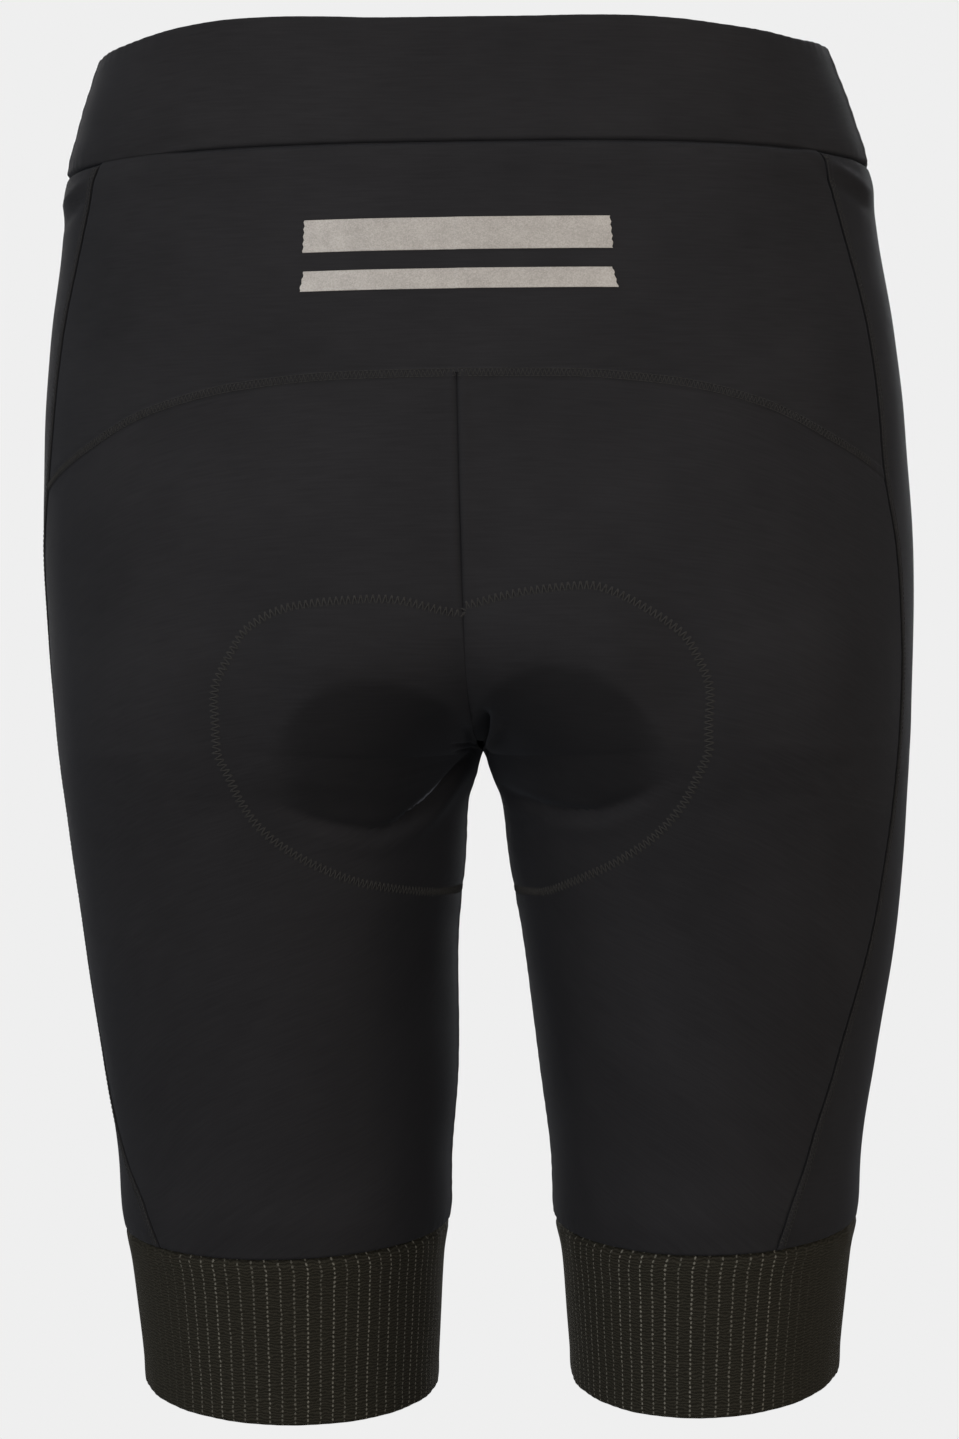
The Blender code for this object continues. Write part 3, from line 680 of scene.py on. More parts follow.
def makeGripperKnit():
    # fine wavy ribs round the leg, crossed by columns of small light dots
    look = gripperLook
    material, tree, shader = newMaterial("gripperKnit", 0.85, 0.05, 0.03, (1.0, 0.95, 0.8))
    uv, u, v = uvParts(tree)
    shade = useGroup(tree, clothShade, Patch=0.06, Streak=1.1)
    wobble = noiseNode(tree, uv, 0.35, 2.0)
    wavy = mathNode(tree, "MULTIPLY_ADD", wobble, 2.6, v)
    ribPhase = mathNode(tree, "MULTIPLY", wavy, 2 * math.pi / look["ribPitch"])
    rib = mathNode(tree, "MULTIPLY_ADD", mathNode(tree, "SINE", ribPhase), 0.5, 0.5)
    slant = mathNode(tree, "ADD", mathNode(tree, "MULTIPLY_ADD", v, 0.02, u),
                     mathNode(tree, "MULTIPLY", wobble, 1.2))
    columnAt = mathNode(tree, "DIVIDE", slant, look["columnPitch"])
    columnNumber = mathNode(tree, "FLOOR", columnAt)
    strength = tree.nodes.new("ShaderNodeTexWhiteNoise")
    strength.noise_dimensions = "1D"
    tree.links.new(columnNumber, strength.inputs["W"])
    offset = mathNode(tree, "MULTIPLY", mathNode(
        tree, "SUBTRACT", mathNode(tree, "FRACT", columnAt), 0.5), look["columnPitch"])
    shifted = mathNode(tree, "MULTIPLY_ADD", columnNumber, 0.37,
                       mathNode(tree, "DIVIDE", v, look["dotPitch"]))
    rowOffset = mathNode(tree, "MULTIPLY", mathNode(
        tree, "SUBTRACT", mathNode(tree, "FRACT", shifted), 0.5), look["dotPitch"])
    away = mathNode(tree, "SQRT", mathNode(
        tree, "ADD", mathNode(tree, "MULTIPLY", offset, mathNode(tree, "MULTIPLY", offset, 2.0)),
        mathNode(tree, "MULTIPLY", rowOffset, rowOffset)))
    dot = tree.nodes.new("ShaderNodeMapRange")
    dot.interpolation_type = "SMOOTHSTEP"
    dot.inputs["From Min"].default_value = 0.70
    dot.inputs["From Max"].default_value = 0.36
    tree.links.new(away, dot.inputs["Value"])
    fade = tree.nodes.new("ShaderNodeAttribute")
    fade.attribute_name = "dotStrength"
    vary = mathNode(tree, "MULTIPLY_ADD", strength.outputs["Value"], 0.55, 0.45)
    patchy = mathNode(tree, "MULTIPLY_ADD", shade["Fuzz"], 1.2, 0.3)
    dots = mathNode(tree, "MULTIPLY", mathNode(tree, "MULTIPLY", dot.outputs[0], vary),
                    mathNode(tree, "MULTIPLY", fade.outputs["Fac"], patchy))
    ground = blendColour(tree, mathNode(tree, "MULTIPLY", rib, mathNode(
        tree, "MULTIPLY_ADD", shade["Fuzz"], 1.2, 0.2)), look["ground"], look["rib"])
    colour = blendColour(tree, dots, ground, look["dot"])
    tree.links.new(colour, shader.inputs["Base Color"])
    height = mathNode(tree, "MULTIPLY_ADD", dots, 0.8, rib)
    height = mathNode(tree, "MULTIPLY_ADD", shade["Fuzz"], 0.8, height)
    setBump(tree, shader, height, 0.7, 0.16)
    return material


def makeReflective():
    # glass-bead film: fine light and dark grains over warm grey
    material, tree, shader = newMaterial("reflectivePrint", 0.42, 0.5, 0.0, (1.0, 1.0, 1.0))
    uv = uvParts(tree)[0]
    grain = tree.nodes.new("ShaderNodeTexVoronoi")
    grain.inputs["Scale"].default_value = 2.4
    tree.links.new(uv, grain.inputs["Vector"])
    tone = tree.nodes.new("ShaderNodeSeparateColor")
    tree.links.new(grain.outputs["Color"], tone.inputs[0])
    cloud = noiseNode(tree, uv, 0.12, 4.0)
    mix = mathNode(tree, "MULTIPLY_ADD", cloud, 0.8,
                   mathNode(tree, "MULTIPLY", tone.outputs[0], 0.55))
    colour = blendColour(tree, spreadOf(tree, mix, 0.1, 1.1),
                         (0.200, 0.180, 0.158), (0.365, 0.333, 0.298))
    tree.links.new(colour, shader.inputs["Base Color"])
    rough = mathNode(tree, "MULTIPLY_ADD", tone.outputs[1], 0.3, 0.3)
    tree.links.new(rough, shader.inputs["Roughness"])
    setBump(tree, shader, tone.outputs[2], 0.25, 0.05)
    return material


def makeThread(name, colour):
    # twisted thread: fine slanting strands
    material, tree, shader = newMaterial(name, 0.75, 0.05, 0.03, (0.9, 0.93, 1.0))
    place = tree.nodes.new("ShaderNodeTexCoord")
    grain = tree.nodes.new("ShaderNodeTexNoise")
    grain.inputs["Scale"].default_value = 2600.0
    tree.links.new(place.outputs["Object"], grain.inputs["Vector"])
    tone = spreadOf(tree, grain.outputs[0], 0.3, 0.7)
    shaded = blendColour(tree, tone, tuple(0.7 * c for c in colour), tuple(1.3 * c for c in colour))
    tree.links.new(shaded, shader.inputs["Base Color"])
    setBump(tree, shader, grain.outputs[0], 0.4, 0.05)
    return material


def makePadCover():
    # brushed microfibre with fine pile
    material, tree, shader = newMaterial("padCover", 0.9, 0.15, 0.35, (0.8, 0.85, 1.0))
    uv = uvParts(tree)[0]
    shade = useGroup(tree, clothShade, Patch=0.05, Streak=0.8)
    pile = noiseNode(tree, uv, 3.0, 4.0)
    tone = mathNode(tree, "MULTIPLY_ADD", pile, 0.6,
                    mathNode(tree, "MULTIPLY", shade["Mottle"], 0.6))
    colour = blendColour(tree, spreadOf(tree, tone, 0.35, 0.85),
                         (0.022, 0.022, 0.024), (0.045, 0.045, 0.049))
    tree.links.new(colour, shader.inputs["Base Color"])
    setBump(tree, shader, pile, 0.5, 0.25)
    return material


jersey = makeJersey("legJersey", (0.0138, 0.0131, 0.0137), (0.0204, 0.0194, 0.0203),
                    0.46, 0.38, 0.75, 0.03)
bandJersey = makeJersey("bandJersey", (0.0138, 0.0130, 0.0135), (0.0204, 0.0193, 0.0199),
                        0.52, 0.42, 0.75, 0.03)
gripperKnit = makeGripperKnit()
reflectivePrint = makeReflective()
blackThread = makeThread("blackThread", (0.0275, 0.0258, 0.0238))
padCover = makePadCover()
print("materials made")


# Cloth panels
detail = {
    "backColumns": 126,
    "frontColumns": 104,
    "bandColumns": 100,
    "bandRows": 30,
    "yokeRows": 60,
    "legRows": 230,
    "gripperRows": 44,
    "gripperColumns": 220,
    "cloth": 1.1,
    "bandCloth": 1.7,
    "gripperCloth": 1.35,
}


def mirrored(left, right):
    # one grid across the middle: the left half turned round, then the right half
    return np.concatenate([left[:, :0:-1], right], axis=1)


def halfShares(count):
    # from the middle, where there is no edge, to the far seam, where steps shrink
    t = np.linspace(0, 1, count + 1)
    return np.sin(0.5 * np.pi * t) * 0.35 + t * 0.65


def softSides(side, angle):
    # the crease below the band fades near the side seams, and more so at the left
    degrees = np.degrees(angle)
    left = 0.85 * ease(-52.0, -43.0, degrees) * (1 - ease(-26.0, -14.0, degrees))
    right = 0.7 * ease(-37.0, -31.0, degrees) * (1 - ease(-17.0, -8.0, degrees))
    return 1 - np.where(side < 0, left, right)


def makeBand(name, middle):
    count = detail["bandColumns"]
    sweep = np.radians(middle + (cut["bandSeam"] - middle) * halfShares(count))
    rows = crowded(detail["bandRows"])[:, None]
    walls = []
    for side in (-1, 1):
        drop = rimDrop(sweep) + rows * cut["bandHeight"] + (1 - rows) * unevenRim(side, sweep)
        angle = np.broadcast_to(sweep, drop.shape)
        bare = bareSkin(side, angle, drop)
        down = lengths(bare, 0)
        across = lengths(bare, 1)
        toSeam = across[:, -1:] - across
        low = down[-1:] - down
        soft = softSides(side, sweep)
        fold = edgeProfile("fold", down, across) + soft * edgeProfile("fold", low, across)
        swell = 0.5 * np.exp(-((low - 6.0) / 6.0) ** 2) + 0.3 * np.exp(-((down - 5.0) / 5.0) ** 2)
        height = fold + swell + edgeProfile("ridge", toSeam, down)
        outside = placeCloth(side, angle, drop, height)
        inside = placeCloth(side, angle, drop, 0.4 * height - detail["bandCloth"])
        walls.append((outside, inside, np.stack([side * across, down], axis=-1)))
    outside, inside, uv = [mirrored(left, right) for left, right in zip(*walls)]
    if middle > 0:
        outside, inside, uv = outside[:, ::-1], inside[:, ::-1], uv[:, ::-1]
    piece = shellMesh(name + "Cloth", outside, inside, uv, bandJersey, roundness=(0.5, 0.4))
    return piece, outside


def makeYoke():
    shares = halfShares(detail["backColumns"])
    rows = crowded(detail["yokeRows"])[:, None]
    walls = []
    for side in (-1, 1):
        top = bandSeam(side, shares)
        drop = top + rows * (yokeDrop(shares) - top)
        angle = seamAngle(side, np.broadcast_to(shares, drop.shape), drop)
        outside, inside, uv = panelGrid(side, angle, drop, detail["cloth"], ("under", "cover", "none", "low"),
                                        softSides(side, angle[0]))
        walls.append((outside, inside, uv * np.array([side, 1.0])))
    outside, inside, uv = [mirrored(left, right) for left, right in zip(*walls)]
    piece = shellMesh("yokeCloth", outside, inside, uv, jersey)
    return piece, outside


def seamRows(side, share, start, rows):
    # drops along a middle seam at even lengths: start to crotch over its share of the rows, then to the foot
    foot = footDrop(side, np.full(1, share))[0]
    fine = 1 - (1 - np.linspace(0, 1, 500)) ** 3
    upper = start + (cut["crotchDrop"] - start) * fine
    lower = np.linspace(cut["crotchDrop"], foot, 500)[1:]
    drop = np.concatenate([upper, lower])
    point = bareSkin(side, seamAngle(side, np.full_like(drop, share), drop), drop)
    length = lengths(point, 0)
    return np.interp(rows * length[-1], length, drop)


def footDrop(side, shares):
    return level(side, lambda drop: seamAngle(side, shares, drop), cut["gripperDrop"], cut["gripperTilt"])


def denseRows(count, behind):
    # shares down the panel: steps shrink at both ends and over the lobes and creases
    t = np.linspace(0, 1, 2000)
    density = 1 + 4.5 * (np.exp(-t / 0.012) + np.exp(-(1 - t) / 0.012))
    centre, spread = (0.44, 0.12) if behind else (0.62, 0.08)
    density = density + 1.8 * np.exp(-((t - centre) / spread) ** 4)
    total = np.concatenate([[0], np.cumsum((density[1:] + density[:-1]) / 2)])
    return np.interp(np.linspace(0, 1, count + 1), total / total[-1], t)


def makeLegPanel(name, side, behind):
    # rows run from a middle seam to the side seam; their ends bend to the top edge and to the leg band
    count = detail["backColumns"] if behind else detail["frontColumns"]
    shares = crowded(count, 0.88) + (0 if behind else 1)
    rows = denseRows(detail["legRows"], behind)
    top = yokeDrop(shares) if behind else bandSeam(side, shares)
    foot = footDrop(side, shares)
    middleShare = 0.0 if behind else 2.0
    middle = seamRows(side, middleShare, top[0] if behind else top[-1], rows)
    sideTop, sideFoot = (top[-1], foot[-1]) if behind else (top[0], foot[0])
    edge = sideTop + (sideFoot - sideTop) * rows
    blend = shares if behind else 2 - shares        # 0 at the middle seam, 1 at the side seam
    drop = middle[:, None] + (edge - middle)[:, None] * blend
    down = rows[:, None]
    drop = drop + (top - drop[0]) * (1 - down) ** 3 + (foot - drop[-1]) * down ** 3
    angle = seamAngle(side, np.broadcast_to(shares, drop.shape), drop)
    edges = ("cover", "fold", "plain", "low") if behind else ("under", "fold", "raised", "plain")
    outside, inside, uv = panelGrid(side, angle, drop, detail["cloth"], edges)
    uv = uv * np.array([side, 1.0])
    if side < 0:
        outside, inside, uv = outside[:, ::-1], inside[:, ::-1], uv[:, ::-1]
    piece = shellMesh(name, outside, inside, uv, jersey)
    if behind:
        # mask for the shade painted over the lobes
        paintedLobeShade = lobeShape(side, angle, drop)[1][:, ::side]
        paintPoints(piece, "paintedLobeShade", np.concatenate([paintedLobeShade, paintedLobeShade[-1:], paintedLobeShade[::-1], paintedLobeShade[:1]]))
    return piece, outside


def makeGripper(name, side):
    # a tube from the leg seam to the hem; dots fade on the outer side of the leg
    shares = np.linspace(0, 2, detail["gripperColumns"] + 1)[:-1]
    angleAt = lambda drop: seamAngle(side, shares, drop)
    top = level(side, angleAt, cut["gripperDrop"], cut["gripperTilt"])
    hem = level(side, angleAt, cut["hemDrop"], cut["hemTilt"], cut["hemLean"] - 0.009 * side, cut["leftHem"])
    rows = crowded(detail["gripperRows"])[:, None]
    drop = top + rows * (hem - top)
    angle = seamAngle(side, np.broadcast_to(shares, drop.shape), drop)
    bare = bareSkin(side, angle, drop)
    down = lengths(bare, 0)
    across = lengths(bare, 1)
    low = down[-1:] - down
    around = 2 * np.pi * across / across[:, -1:]
    tuck = -2.1 * np.exp(-(down / 1.6) ** 2) + 0.35 * np.exp(-((down - 6.0) / 5.0) ** 2)
    hemRoll = edgeProfile("fold", low, across) + 0.3 * np.exp(-((low - 4.0) / 4.0) ** 2)
    ripple = 0.22 * np.sin(23 * around + 2.2 * np.sin(3 * around)) * np.exp(-(down / 9.0) ** 2)
    ripple = ripple + 0.14 * np.sin(17 * around + 1.7) * np.exp(-(low / 14.0) ** 2)
    height = tuck + hemRoll + ripple
    outside = placeCloth(side, angle, drop, height)
    inside = placeCloth(side, angle, drop, 0.5 * height - detail["gripperCloth"])
    along = np.append(across.mean(axis=0), across[:, -1].mean() * (1 + 1 / detail["gripperColumns"]))
    columns = np.round(along[-1] / gripperLook["columnPitch"])
    turn = side * along / along[-1] * columns * gripperLook["columnPitch"]
    uv = np.stack([np.broadcast_to(turn, (len(rows), len(turn))),
                   np.concatenate([down, down[:, :1]], axis=1)], axis=-1)
    strong = ease(35.0, 60.0, np.abs(np.degrees(angle) + 8.0)) * 0.9 + 0.1
    if side < 0:
        flip = np.concatenate([[0], np.arange(len(shares) - 1, 0, -1)])
        outside, inside, strong = outside[:, flip], inside[:, flip], strong[:, flip]
        uv = uv[:, ::-1]
    piece = shellMesh(name, outside, inside, uv, gripperKnit, ring=True, roundness=(0.0, 0.35))
    hidden = np.zeros_like(strong)      # no dots on the inner wall
    paintPoints(piece, "dotStrength", np.concatenate([strong, strong[-1:], hidden, hidden[:1]]))
    return piece, outside


clothPieces = {}
for node, middle in (("waistband_back", -90.0), ("waistband_front", 90.0)):
    clothPieces[node] = makeBand("waistbandBack" if middle < 0 else "waistbandFront", middle)
clothPieces["back_yoke"] = makeYoke()
for word, side in (("left", -1), ("right", 1)):
    clothPieces[word + "_seat_panel"] = makeLegPanel(word + "SeatCloth", side, True)
    clothPieces[word + "_front_panel"] = makeLegPanel(word + "FrontCloth", side, False)
    clothPieces[word + "_leg_gripper"] = makeGripper(word + "GripperKnit", side)
print("cloth panels made")


# Reflective strips: thin film on the yoke's own points
strips = {
    "reflective_strip_upper": {"half": 57.5, "top": 77.8, "bottom": 90.0, "flare": 0.4},
    "reflective_strip_lower": {"half": 58.5, "top": 97.3, "bottom": 104.8, "flare": 0.9},
}
film = {"shift": 1.0, "lift": 0.12, "thick": 0.25, "columns": 150, "rows": 14}


def makeStrip(node, size):
    reach = np.linspace(-1, 1, film["columns"] + 1)
    down = crowded(film["rows"], 0.7)[:, None]
    drop = size["top"] + down * (size["bottom"] - size["top"]) + 0 * reach
    wide = (size["half"] + size["flare"] * (2 * down - 1)) * reach
    wide = wide + 0.25 * np.sin(drop * 2.3) * np.abs(reach) ** 30
    side = np.where(wide < 0, -1, 1)
    centre, half = section(1, drop)[:2]
    angle = -np.arccos(np.clip((np.abs(wide) - centre) / half, -1, 1))
    walls = []
    for lift in (film["lift"] + film["thick"], film["lift"]):
        left = placeCloth(-1, angle, drop, np.full_like(drop, lift))
        right = placeCloth(1, angle, drop, np.full_like(drop, lift))
        wall = np.where((side < 0)[..., None], left, right)
        wall[..., 0] += film["shift"]
        walls.append(wall)
    uv = np.stack([wide, drop], axis=-1)
    piece = shellMesh("upperStrip" if "upper" in node else "lowerStrip", walls[0], walls[1], uv,
                      reflectivePrint, roundness=(0.1, 0.1))
    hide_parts(node)
    return piece


stripPieces = [makeStrip(node, size) for node, size in strips.items()]
print("reflective strips made")


# Stitches: each thread is a short bent tube of four sides whose ends go into the cloth
stitches = {
    "padPitch": 2.25,
    "padWidth": 3.9,
    "padThread": 0.30,
    "coverPitch": 1.6,
    "coverWidth": 2.5,
    "coverThread": 0.15,
    "runPitch": 1.9,
}


def seamLine(side, angle, drop, pitch, offset):
    # even steps along a line on the cloth: points, direction along it, outward normal, direction across it
    dense = placeCloth(side, angle, drop, np.full_like(drop, offset))
    length = lengths(dense, 0)
    steps = int(length[-1] / pitch)
    at = np.linspace(0, length[-1], steps + 1)
    angle = np.interp(at, length, angle)
    drop = np.interp(at, length, drop)
    point = placeCloth(side, angle, drop, np.full_like(drop, offset))
    along = np.gradient(point, axis=0)
    along /= np.linalg.norm(along, axis=1, keepdims=True)
    normal = skinNormal(side, angle, drop) * np.array([side, 1.0, 1.0])
    across = np.cross(normal, along)
    return point, along, normal, across / np.linalg.norm(across, axis=1, keepdims=True)


def threadTubes(starts, ends, normals, lift, radius):
    # four rings on each thread; the ends dip below the cloth and the middle stands above it
    share = np.array([0.0, 0.28, 0.72, 1.0])
    rise = np.array([-0.5, 1.0, 1.0, -0.5]) * lift
    centre = starts[:, None] + (ends - starts)[:, None] * share[:, None]
    centre = centre + normals[:, None] * rise[:, None]
    along = ends - starts
    across = np.cross(along, normals)
    across /= np.linalg.norm(across, axis=1, keepdims=True)
    turn = np.arange(4) * np.pi / 2
    ring = (np.cos(turn)[:, None] * across[:, None] + np.sin(turn)[:, None] * normals[:, None]) * radius
    points = centre[:, :, None] + ring[:, None]
    return points.reshape(-1, 3)


def threadFaces(count):
    # quads between the four rings of every tube, and a cap at each end
    ringNumber = np.arange(16).reshape(4, 4)
    rolled = np.roll(ringNumber, -1, axis=1)
    side = np.stack([ringNumber[:-1], rolled[:-1], rolled[1:], ringNumber[1:]], axis=-1).reshape(-1, 4)
    caps = np.array([ringNumber[0, ::-1], ringNumber[3]])
    faces = np.concatenate([side, caps])
    return (faces[None] + 16 * np.arange(count)[:, None, None]).reshape(-1, 4)


def threadPiece(name, parts, material):
    points = np.concatenate(parts)
    faces = threadFaces(len(points) // 16)
    mesh = bpy.data.meshes.new(name)
    mesh.from_pydata((points * mm).tolist(), [], faces.tolist())
    mesh.materials.append(material)
    mesh.shade_smooth()
    piece = addObject(name, mesh)
    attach(piece, "root")
    return piece


def zigzag(line, width, lift, radius):
    # threads from one edge of the seam to the other and back
    point, _, normal, across = line
    swing = np.where(np.arange(len(point)) % 2 == 0, 0.5, -0.5)[:, None] * width
    turnPoint = point + across * swing
    return threadTubes(turnPoint[:-1], turnPoint[1:], normal[:-1], lift, radius)


def running(line, aside, lift, radius):
    # a row of short stitches parallel to the seam
    point, along, normal, across = line
    row = point + across * aside
    return threadTubes(row[:-1], row[1:] - along[1:] * 0.25, normal[:-1], lift, radius)


def coverStitch(side, angle, drop, offset, aside=0.0):
    # cover stitch: close zigzag between two rows of running stitches, centred beside the seam
    close = seamLine(side, angle, drop, stitches["coverPitch"] / 2, offset)
    far = seamLine(side, angle, drop, stitches["runPitch"], offset)
    close = (close[0] + close[3] * aside, *close[1:])
    far = (far[0] + far[3] * aside, *far[1:])
    half = stitches["coverWidth"] / 2
    return [zigzag(close, stitches["coverWidth"], 0.12, stitches["coverThread"]),
            running(far, half + 0.15, 0.12, stitches["coverThread"]),
            running(far, -half - 0.15, 0.12, stitches["coverThread"])]


def makeStitches():
    padThreads, cover = [], []
    for side in (-1, 1):
        line = seamLine(side, *padPath(side, 600), stitches["padPitch"] / 2, 0.0)
        padThreads.append(zigzag(line, stitches["padWidth"], 0.24, stitches["padThread"]))
        shares = np.linspace(0.002, 0.996 if side < 0 else 0.93, 500)
        drop = yokeDrop(shares)
        cover += coverStitch(side, seamAngle(side, shares, drop), drop, 0.15)
        sideTop = bandSeam(side, np.ones(1))[0] + 2.5
        sideFoot = footDrop(side, np.ones(1))[0] - 2.0
        drop = np.linspace(sideTop, sideFoot, 700)
        cover += coverStitch(side, seamAngle(side, np.ones_like(drop), drop), drop, 0.2, side * 1.3)
    return (threadPiece("padZigzagStitch", padThreads, blackThread),
            threadPiece("coverStitch", cover, blackThread))


padStitch, coverThreads = makeStitches()
print("stitches made")


# Seat pad: moulded foam under the cloth, thin at its stitched edge, thick in the two lobes
padColumns = ("share", "angle", "drop")
padEdge = ((0.0, -75.5, 235.0), (0.10, -77.0, 252.0), (0.18, -83.0, 272.0),
           (0.26, -93.0, 298.0), (0.34, -108.0, 314.0), (0.42, -132.0, 328.0),
           (0.50, -162.0, 332.0), (0.60, -200.0, 330.0), (0.70, -218.0, 316.0),
           (0.85, -232.0, 290.0), (1.0, -240.0, 250.0))
pad = {
    "backDrop": 225.0, "frontDrop": 222.0, "crest": 9.0, "clear": 1.7, "slack": 1.3,
    "frontSlack": 1.8, "ridge": 4.5, "saddle": 0.12, "edgeThick": 2.0, "foam": 3.5,
    "lobeFoam": 5.0, "apart": 38.0, "drop": 275.0, "wide": 37.0, "high": 31.0,
    "rows": 150, "steps": 44, "cloth": 1.2, "follow": 0.6, "lobeRise": 6.0,
}


def padMiddle(count):
    # angle and drop of the middle line at even lengths, from the back through the crotch to the front
    fine = 1 - (1 - np.linspace(0, 1, 400)) ** 3
    back = pad["backDrop"] + (cut["crotchDrop"] - pad["backDrop"]) * fine
    front = (pad["frontDrop"] + (cut["crotchDrop"] - pad["frontDrop"]) * fine)[::-1]
    drop = np.concatenate([back, front[1:]])
    angle = np.concatenate([-forkAngle(1, back), forkAngle(1, front[1:]) - 2 * np.pi])
    length = lengths(bareSkin(1, angle, drop), 0)
    wanted = np.linspace(0, length[-1], count + 1)
    return np.interp(wanted, length, angle), np.interp(wanted, length, drop)


def makePad():
    share = np.linspace(0, 1, pad["rows"] + 1)
    middleAngle, middleDrop = padMiddle(pad["rows"])
    edgeAngle = np.radians(column(padEdge, padColumns, "angle", share))
    edgeDrop = column(padEdge, padColumns, "drop", share)
    out = np.linspace(0, 1, pad["steps"] + 1)[None, :] ** 1.15
    angle = middleAngle[:, None] + (edgeAngle - middleAngle)[:, None] * out
    drop = middleDrop[:, None] + (edgeDrop - middleDrop)[:, None] * out
    drop = drop - pad["crest"] * (1 - ease(0.0, 0.2, share))[:, None] * np.sin(np.pi * out)
    skin = bareSkin(1, angle, drop)
    tangent = np.gradient(skin[:, 0], axis=0)
    lift = np.stack([np.zeros_like(share), tangent[:, 2], -tangent[:, 1]], axis=1)
    lift /= np.linalg.norm(lift, axis=1, keepdims=True)
    outward = skinNormal(1, angle, drop)
    near = np.exp(-(out / pad["saddle"]) ** 2)[..., None]
    way = near * -lift[:, None, :] - (1 - near) * outward
    way /= np.linalg.norm(way, axis=-1, keepdims=True)
    fold = np.abs(outward[:, :1, 0])
    across = (skin[..., 0] - pad["apart"]) / pad["wide"]
    along = (drop - pad["drop"]) / pad["high"]
    lobe = (1 - ease(0.35, 1.05, np.hypot(across, along))) * ease(0.0, 0.5, -np.sin(angle))
    start = pad["cloth"] + pad["clear"] + pad["frontSlack"] * ease(0.55, 0.7, share)[:, None]
    start = start + pad["slack"] * ease(0.0, 0.3, 1 - out) + pad["ridge"] * fold * near[..., 0]
    ends = ease(0.0, 0.1, share) * ease(0.0, 0.1, 1 - share)
    body = ease(0.04, 0.2, 1 - out) * ends[:, None]
    # grooves pressed into the foam: one beside the middle and one round the lobes
    groove = np.exp(-((out - 0.16) / 0.035) ** 2) * ends[:, None] * ease(0.1, 0.2, share)[:, None]
    ringed = np.exp(-((np.hypot(across, along) - 1.12) / 0.06) ** 2) * ease(0.0, 0.5, -np.sin(angle))
    thick = (pad["edgeThick"] + pad["foam"] * body + pad["lobeFoam"] * lobe
             - 1.6 * groove * body - 1.2 * ringed * body)
    walls = []
    for depth in (start, start + thick):
        grid = skin + outward * (pad["follow"] * pad["lobeRise"] * lobe)[..., None] + way * depth[..., None]
        grid[:, 0, 0] = 0.0
        left = grid[:, :0:-1] * np.array([-1.0, 1.0, 1.0])
        whole = np.concatenate([left, grid], axis=1)
        whole[..., 0] += sway(-whole[..., 2])
        walls.append(whole)
    uv = np.stack([lengths(walls[0], 1), lengths(walls[0], 0)], axis=-1)
    piece = shellMesh("seatPad", walls[0], walls[1], uv, padCover, roundness=(0.6, 0.6))
    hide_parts("seat_pad")
    return piece


seatPad = makePad()
print("seat pad made")

for node, (piece, outside) in clothPieces.items():
    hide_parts(node)


# Studio: pale floor and surroundings, soft lights, camera at the photograph's angle
studio = {
    "pale": (0.863, 0.863, 0.863),
    "floorHeight": -0.72,
    "floorRadius": 9.0,
    "fill": 0.22,
    "yaw": 2.9,             # degrees towards the wearer's right
    "roll": 0.6,
    "distance": 1.8,
    "height": -0.265,
    "aside": 0.00377,
    "lens": 113.58,
}


def mixShaders(tree, amount, first, second):
    # first where the amount is 0, second where it is 1
    mix = tree.nodes.new("ShaderNodeMixShader")
    tree.links.new(amount, mix.inputs["Fac"])
    tree.links.new(first, mix.inputs[1])
    tree.links.new(second, mix.inputs[2])
    return mix.outputs[0]


def makeWorld():
    world = bpy.data.worlds.new("studioWorld")
    world.use_nodes = True
    scene.world = world
    tree = world.node_tree
    shown = tree.nodes["Background"]
    shown.inputs["Color"].default_value = (*studio["pale"], 1.0)
    soft = tree.nodes.new("ShaderNodeBackground")
    soft.inputs["Color"].default_value = (0.95, 0.98, 1.0, 1.0)
    soft.inputs["Strength"].default_value = studio["fill"]
    path = tree.nodes.new("ShaderNodeLightPath")
    mixed = mixShaders(tree, path.outputs["Is Camera Ray"], soft.outputs[0], shown.outputs[0])
    tree.links.new(mixed, tree.nodes["World Output"].inputs["Surface"])


def makeFloor():
    # round floor, seen from above only, kept as pale as the surroundings
    turn = np.linspace(0, 2 * np.pi, 97)[:-1]
    radius = studio["floorRadius"]
    points = np.stack([radius * np.cos(turn), radius * np.sin(turn),
                       np.full_like(turn, studio["floorHeight"])], 1)
    mesh = bpy.data.meshes.new("studioFloor")
    mesh.from_pydata(points.tolist(), [], [list(range(len(turn)))])
    floor = addObject("studioFloor", mesh)
    material = bpy.data.materials.new("paleFloor")
    material.use_nodes = True
    tree = material.node_tree
    shader = tree.nodes["Principled BSDF"]
    shader.inputs["Base Color"].default_value = (0.20, 0.20, 0.20, 1.0)
    shader.inputs["Roughness"].default_value = 1.0
    shader.inputs["Specular IOR Level"].default_value = 0.0
    glow = tree.nodes.new("ShaderNodeEmission")
    glow.inputs["Color"].default_value = (*studio["pale"], 1.0)
    clear = tree.nodes.new("ShaderNodeBsdfTransparent")
    path = tree.nodes.new("ShaderNodeLightPath")
    facing = tree.nodes.new("ShaderNodeNewGeometry")
    pale = mixShaders(tree, path.outputs["Is Camera Ray"], shader.outputs[0], glow.outputs[0])
    whole = mixShaders(tree, facing.outputs["Backfacing"], pale, clear.outputs[0])
    tree.links.new(whole, tree.nodes["Material Output"].inputs["Surface"])
    mesh.materials.append(material)


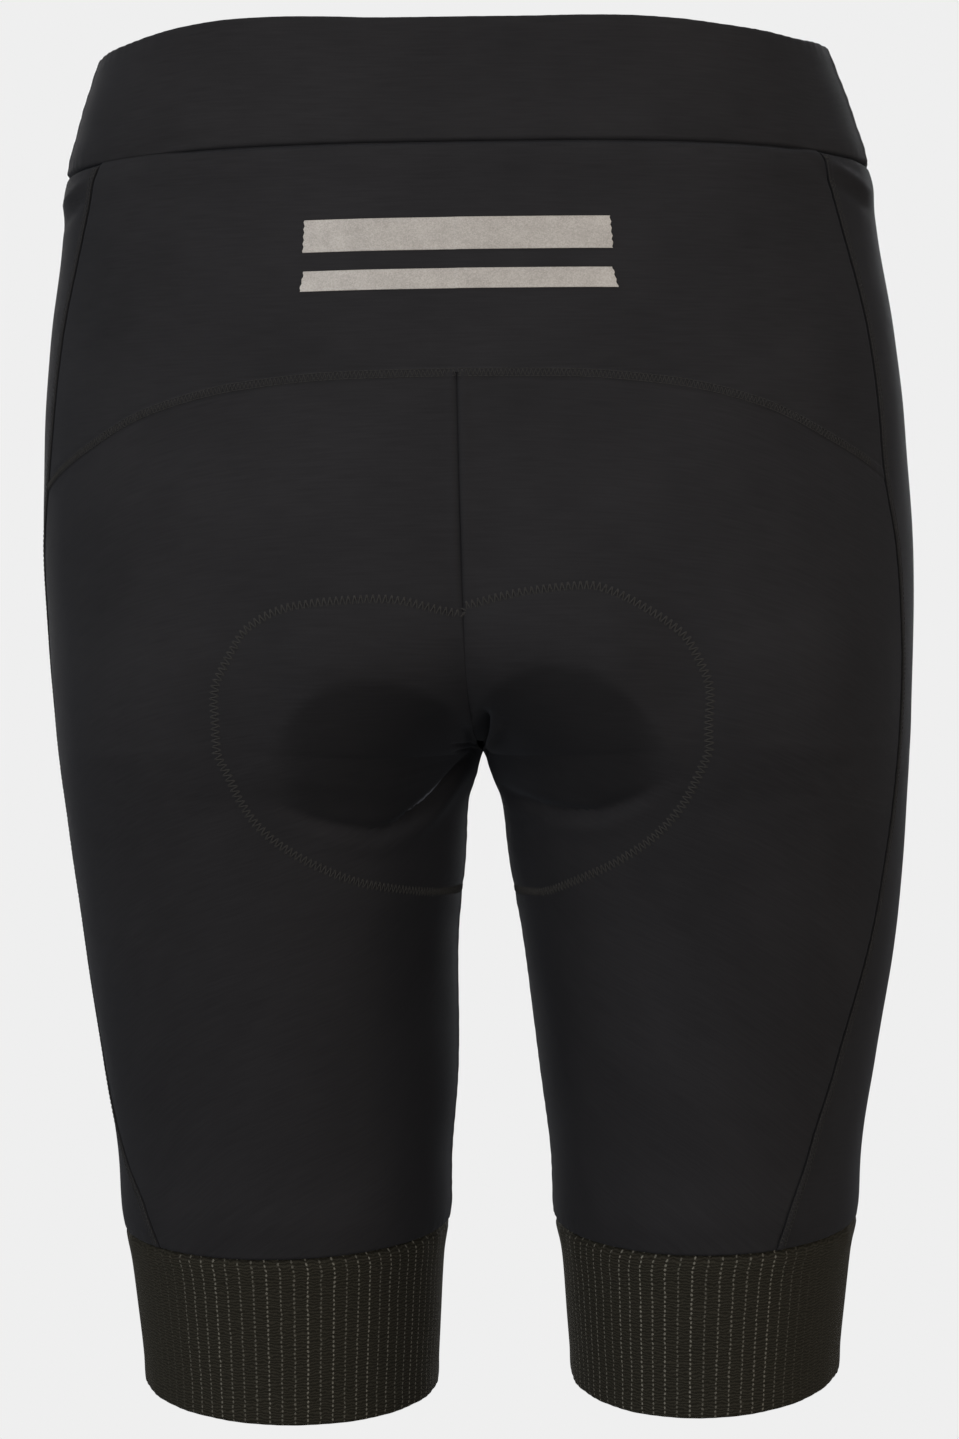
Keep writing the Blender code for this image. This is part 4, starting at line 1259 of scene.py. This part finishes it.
softboxes = (       # name, place, size, watts, colour
    ("keyLeft", (-1.3, -2.45, 0.5), 1.5, 42.0, (0.95, 0.97, 1.0)),
    ("fillRight", (1.2, -2.5, 0.4), 1.5, 27.0, (1.0, 0.96, 0.93)),
    ("lowFill", (0.0, -2.8, -0.5), 1.0, 13.0, (1.0, 1.0, 1.0)),
    ("overhead", (0.0, -0.5, 2.3), 1.8, 24.0, (1.0, 1.0, 1.0)),
    ("sideLeft", (-2.9, -0.6, 0.2), 1.0, 13.0, (0.92, 0.96, 1.0)),
    ("sideRight", (2.9, -0.4, -0.1), 1.0, 15.0, (1.0, 0.84, 0.64)),
    ("frontKey", (0.6, 2.9, 0.6), 1.5, 50.0, (0.97, 0.98, 1.0)),
    ("frontFill", (-0.9, 2.8, 0.4), 1.4, 26.0, (1.0, 0.97, 0.94)),
)


def makeLights():
    for name, place, size, power, colour in softboxes:
        light = bpy.data.lights.new(name, "AREA")
        light.shape = "SQUARE"
        light.size = size
        light.energy = power
        light.color = colour
        lamp = bpy.data.objects.new(name, light)
        lamp.location = place
        aim = Vector((0.0, 0.0, -0.26)) - Vector(place)
        lamp.rotation_euler = aim.to_track_quat("-Z", "Y").to_euler()
        lamp.visible_camera = False
        scene.collection.objects.link(lamp)


def makeCamera():
    yaw, roll = math.radians(studio["yaw"]), math.radians(studio["roll"])
    right = Vector((math.cos(yaw), math.sin(yaw), 0.0))
    back = Vector((math.sin(yaw), -math.cos(yaw), 0.0))
    up = Vector((0.0, 0.0, 1.0))
    place = back * studio["distance"] + right * studio["aside"] + up * studio["height"]
    leanUp = up * math.cos(roll) + right * math.sin(roll)
    leanRight = right * math.cos(roll) - up * math.sin(roll)
    data = bpy.data.cameras.new("photoCamera")
    data.sensor_width = 36.0
    data.lens = studio["lens"]
    camera = bpy.data.objects.new("photoCamera", data)
    turn = Matrix((leanRight, leanUp, back)).transposed()
    camera.matrix_world = Matrix.Translation(place) @ turn.to_4x4()
    scene.collection.objects.link(camera)
    scene.camera = camera


makeWorld()
makeFloor()
makeLights()
makeCamera()
scene.view_settings.view_transform = "Standard"
print("studio made")
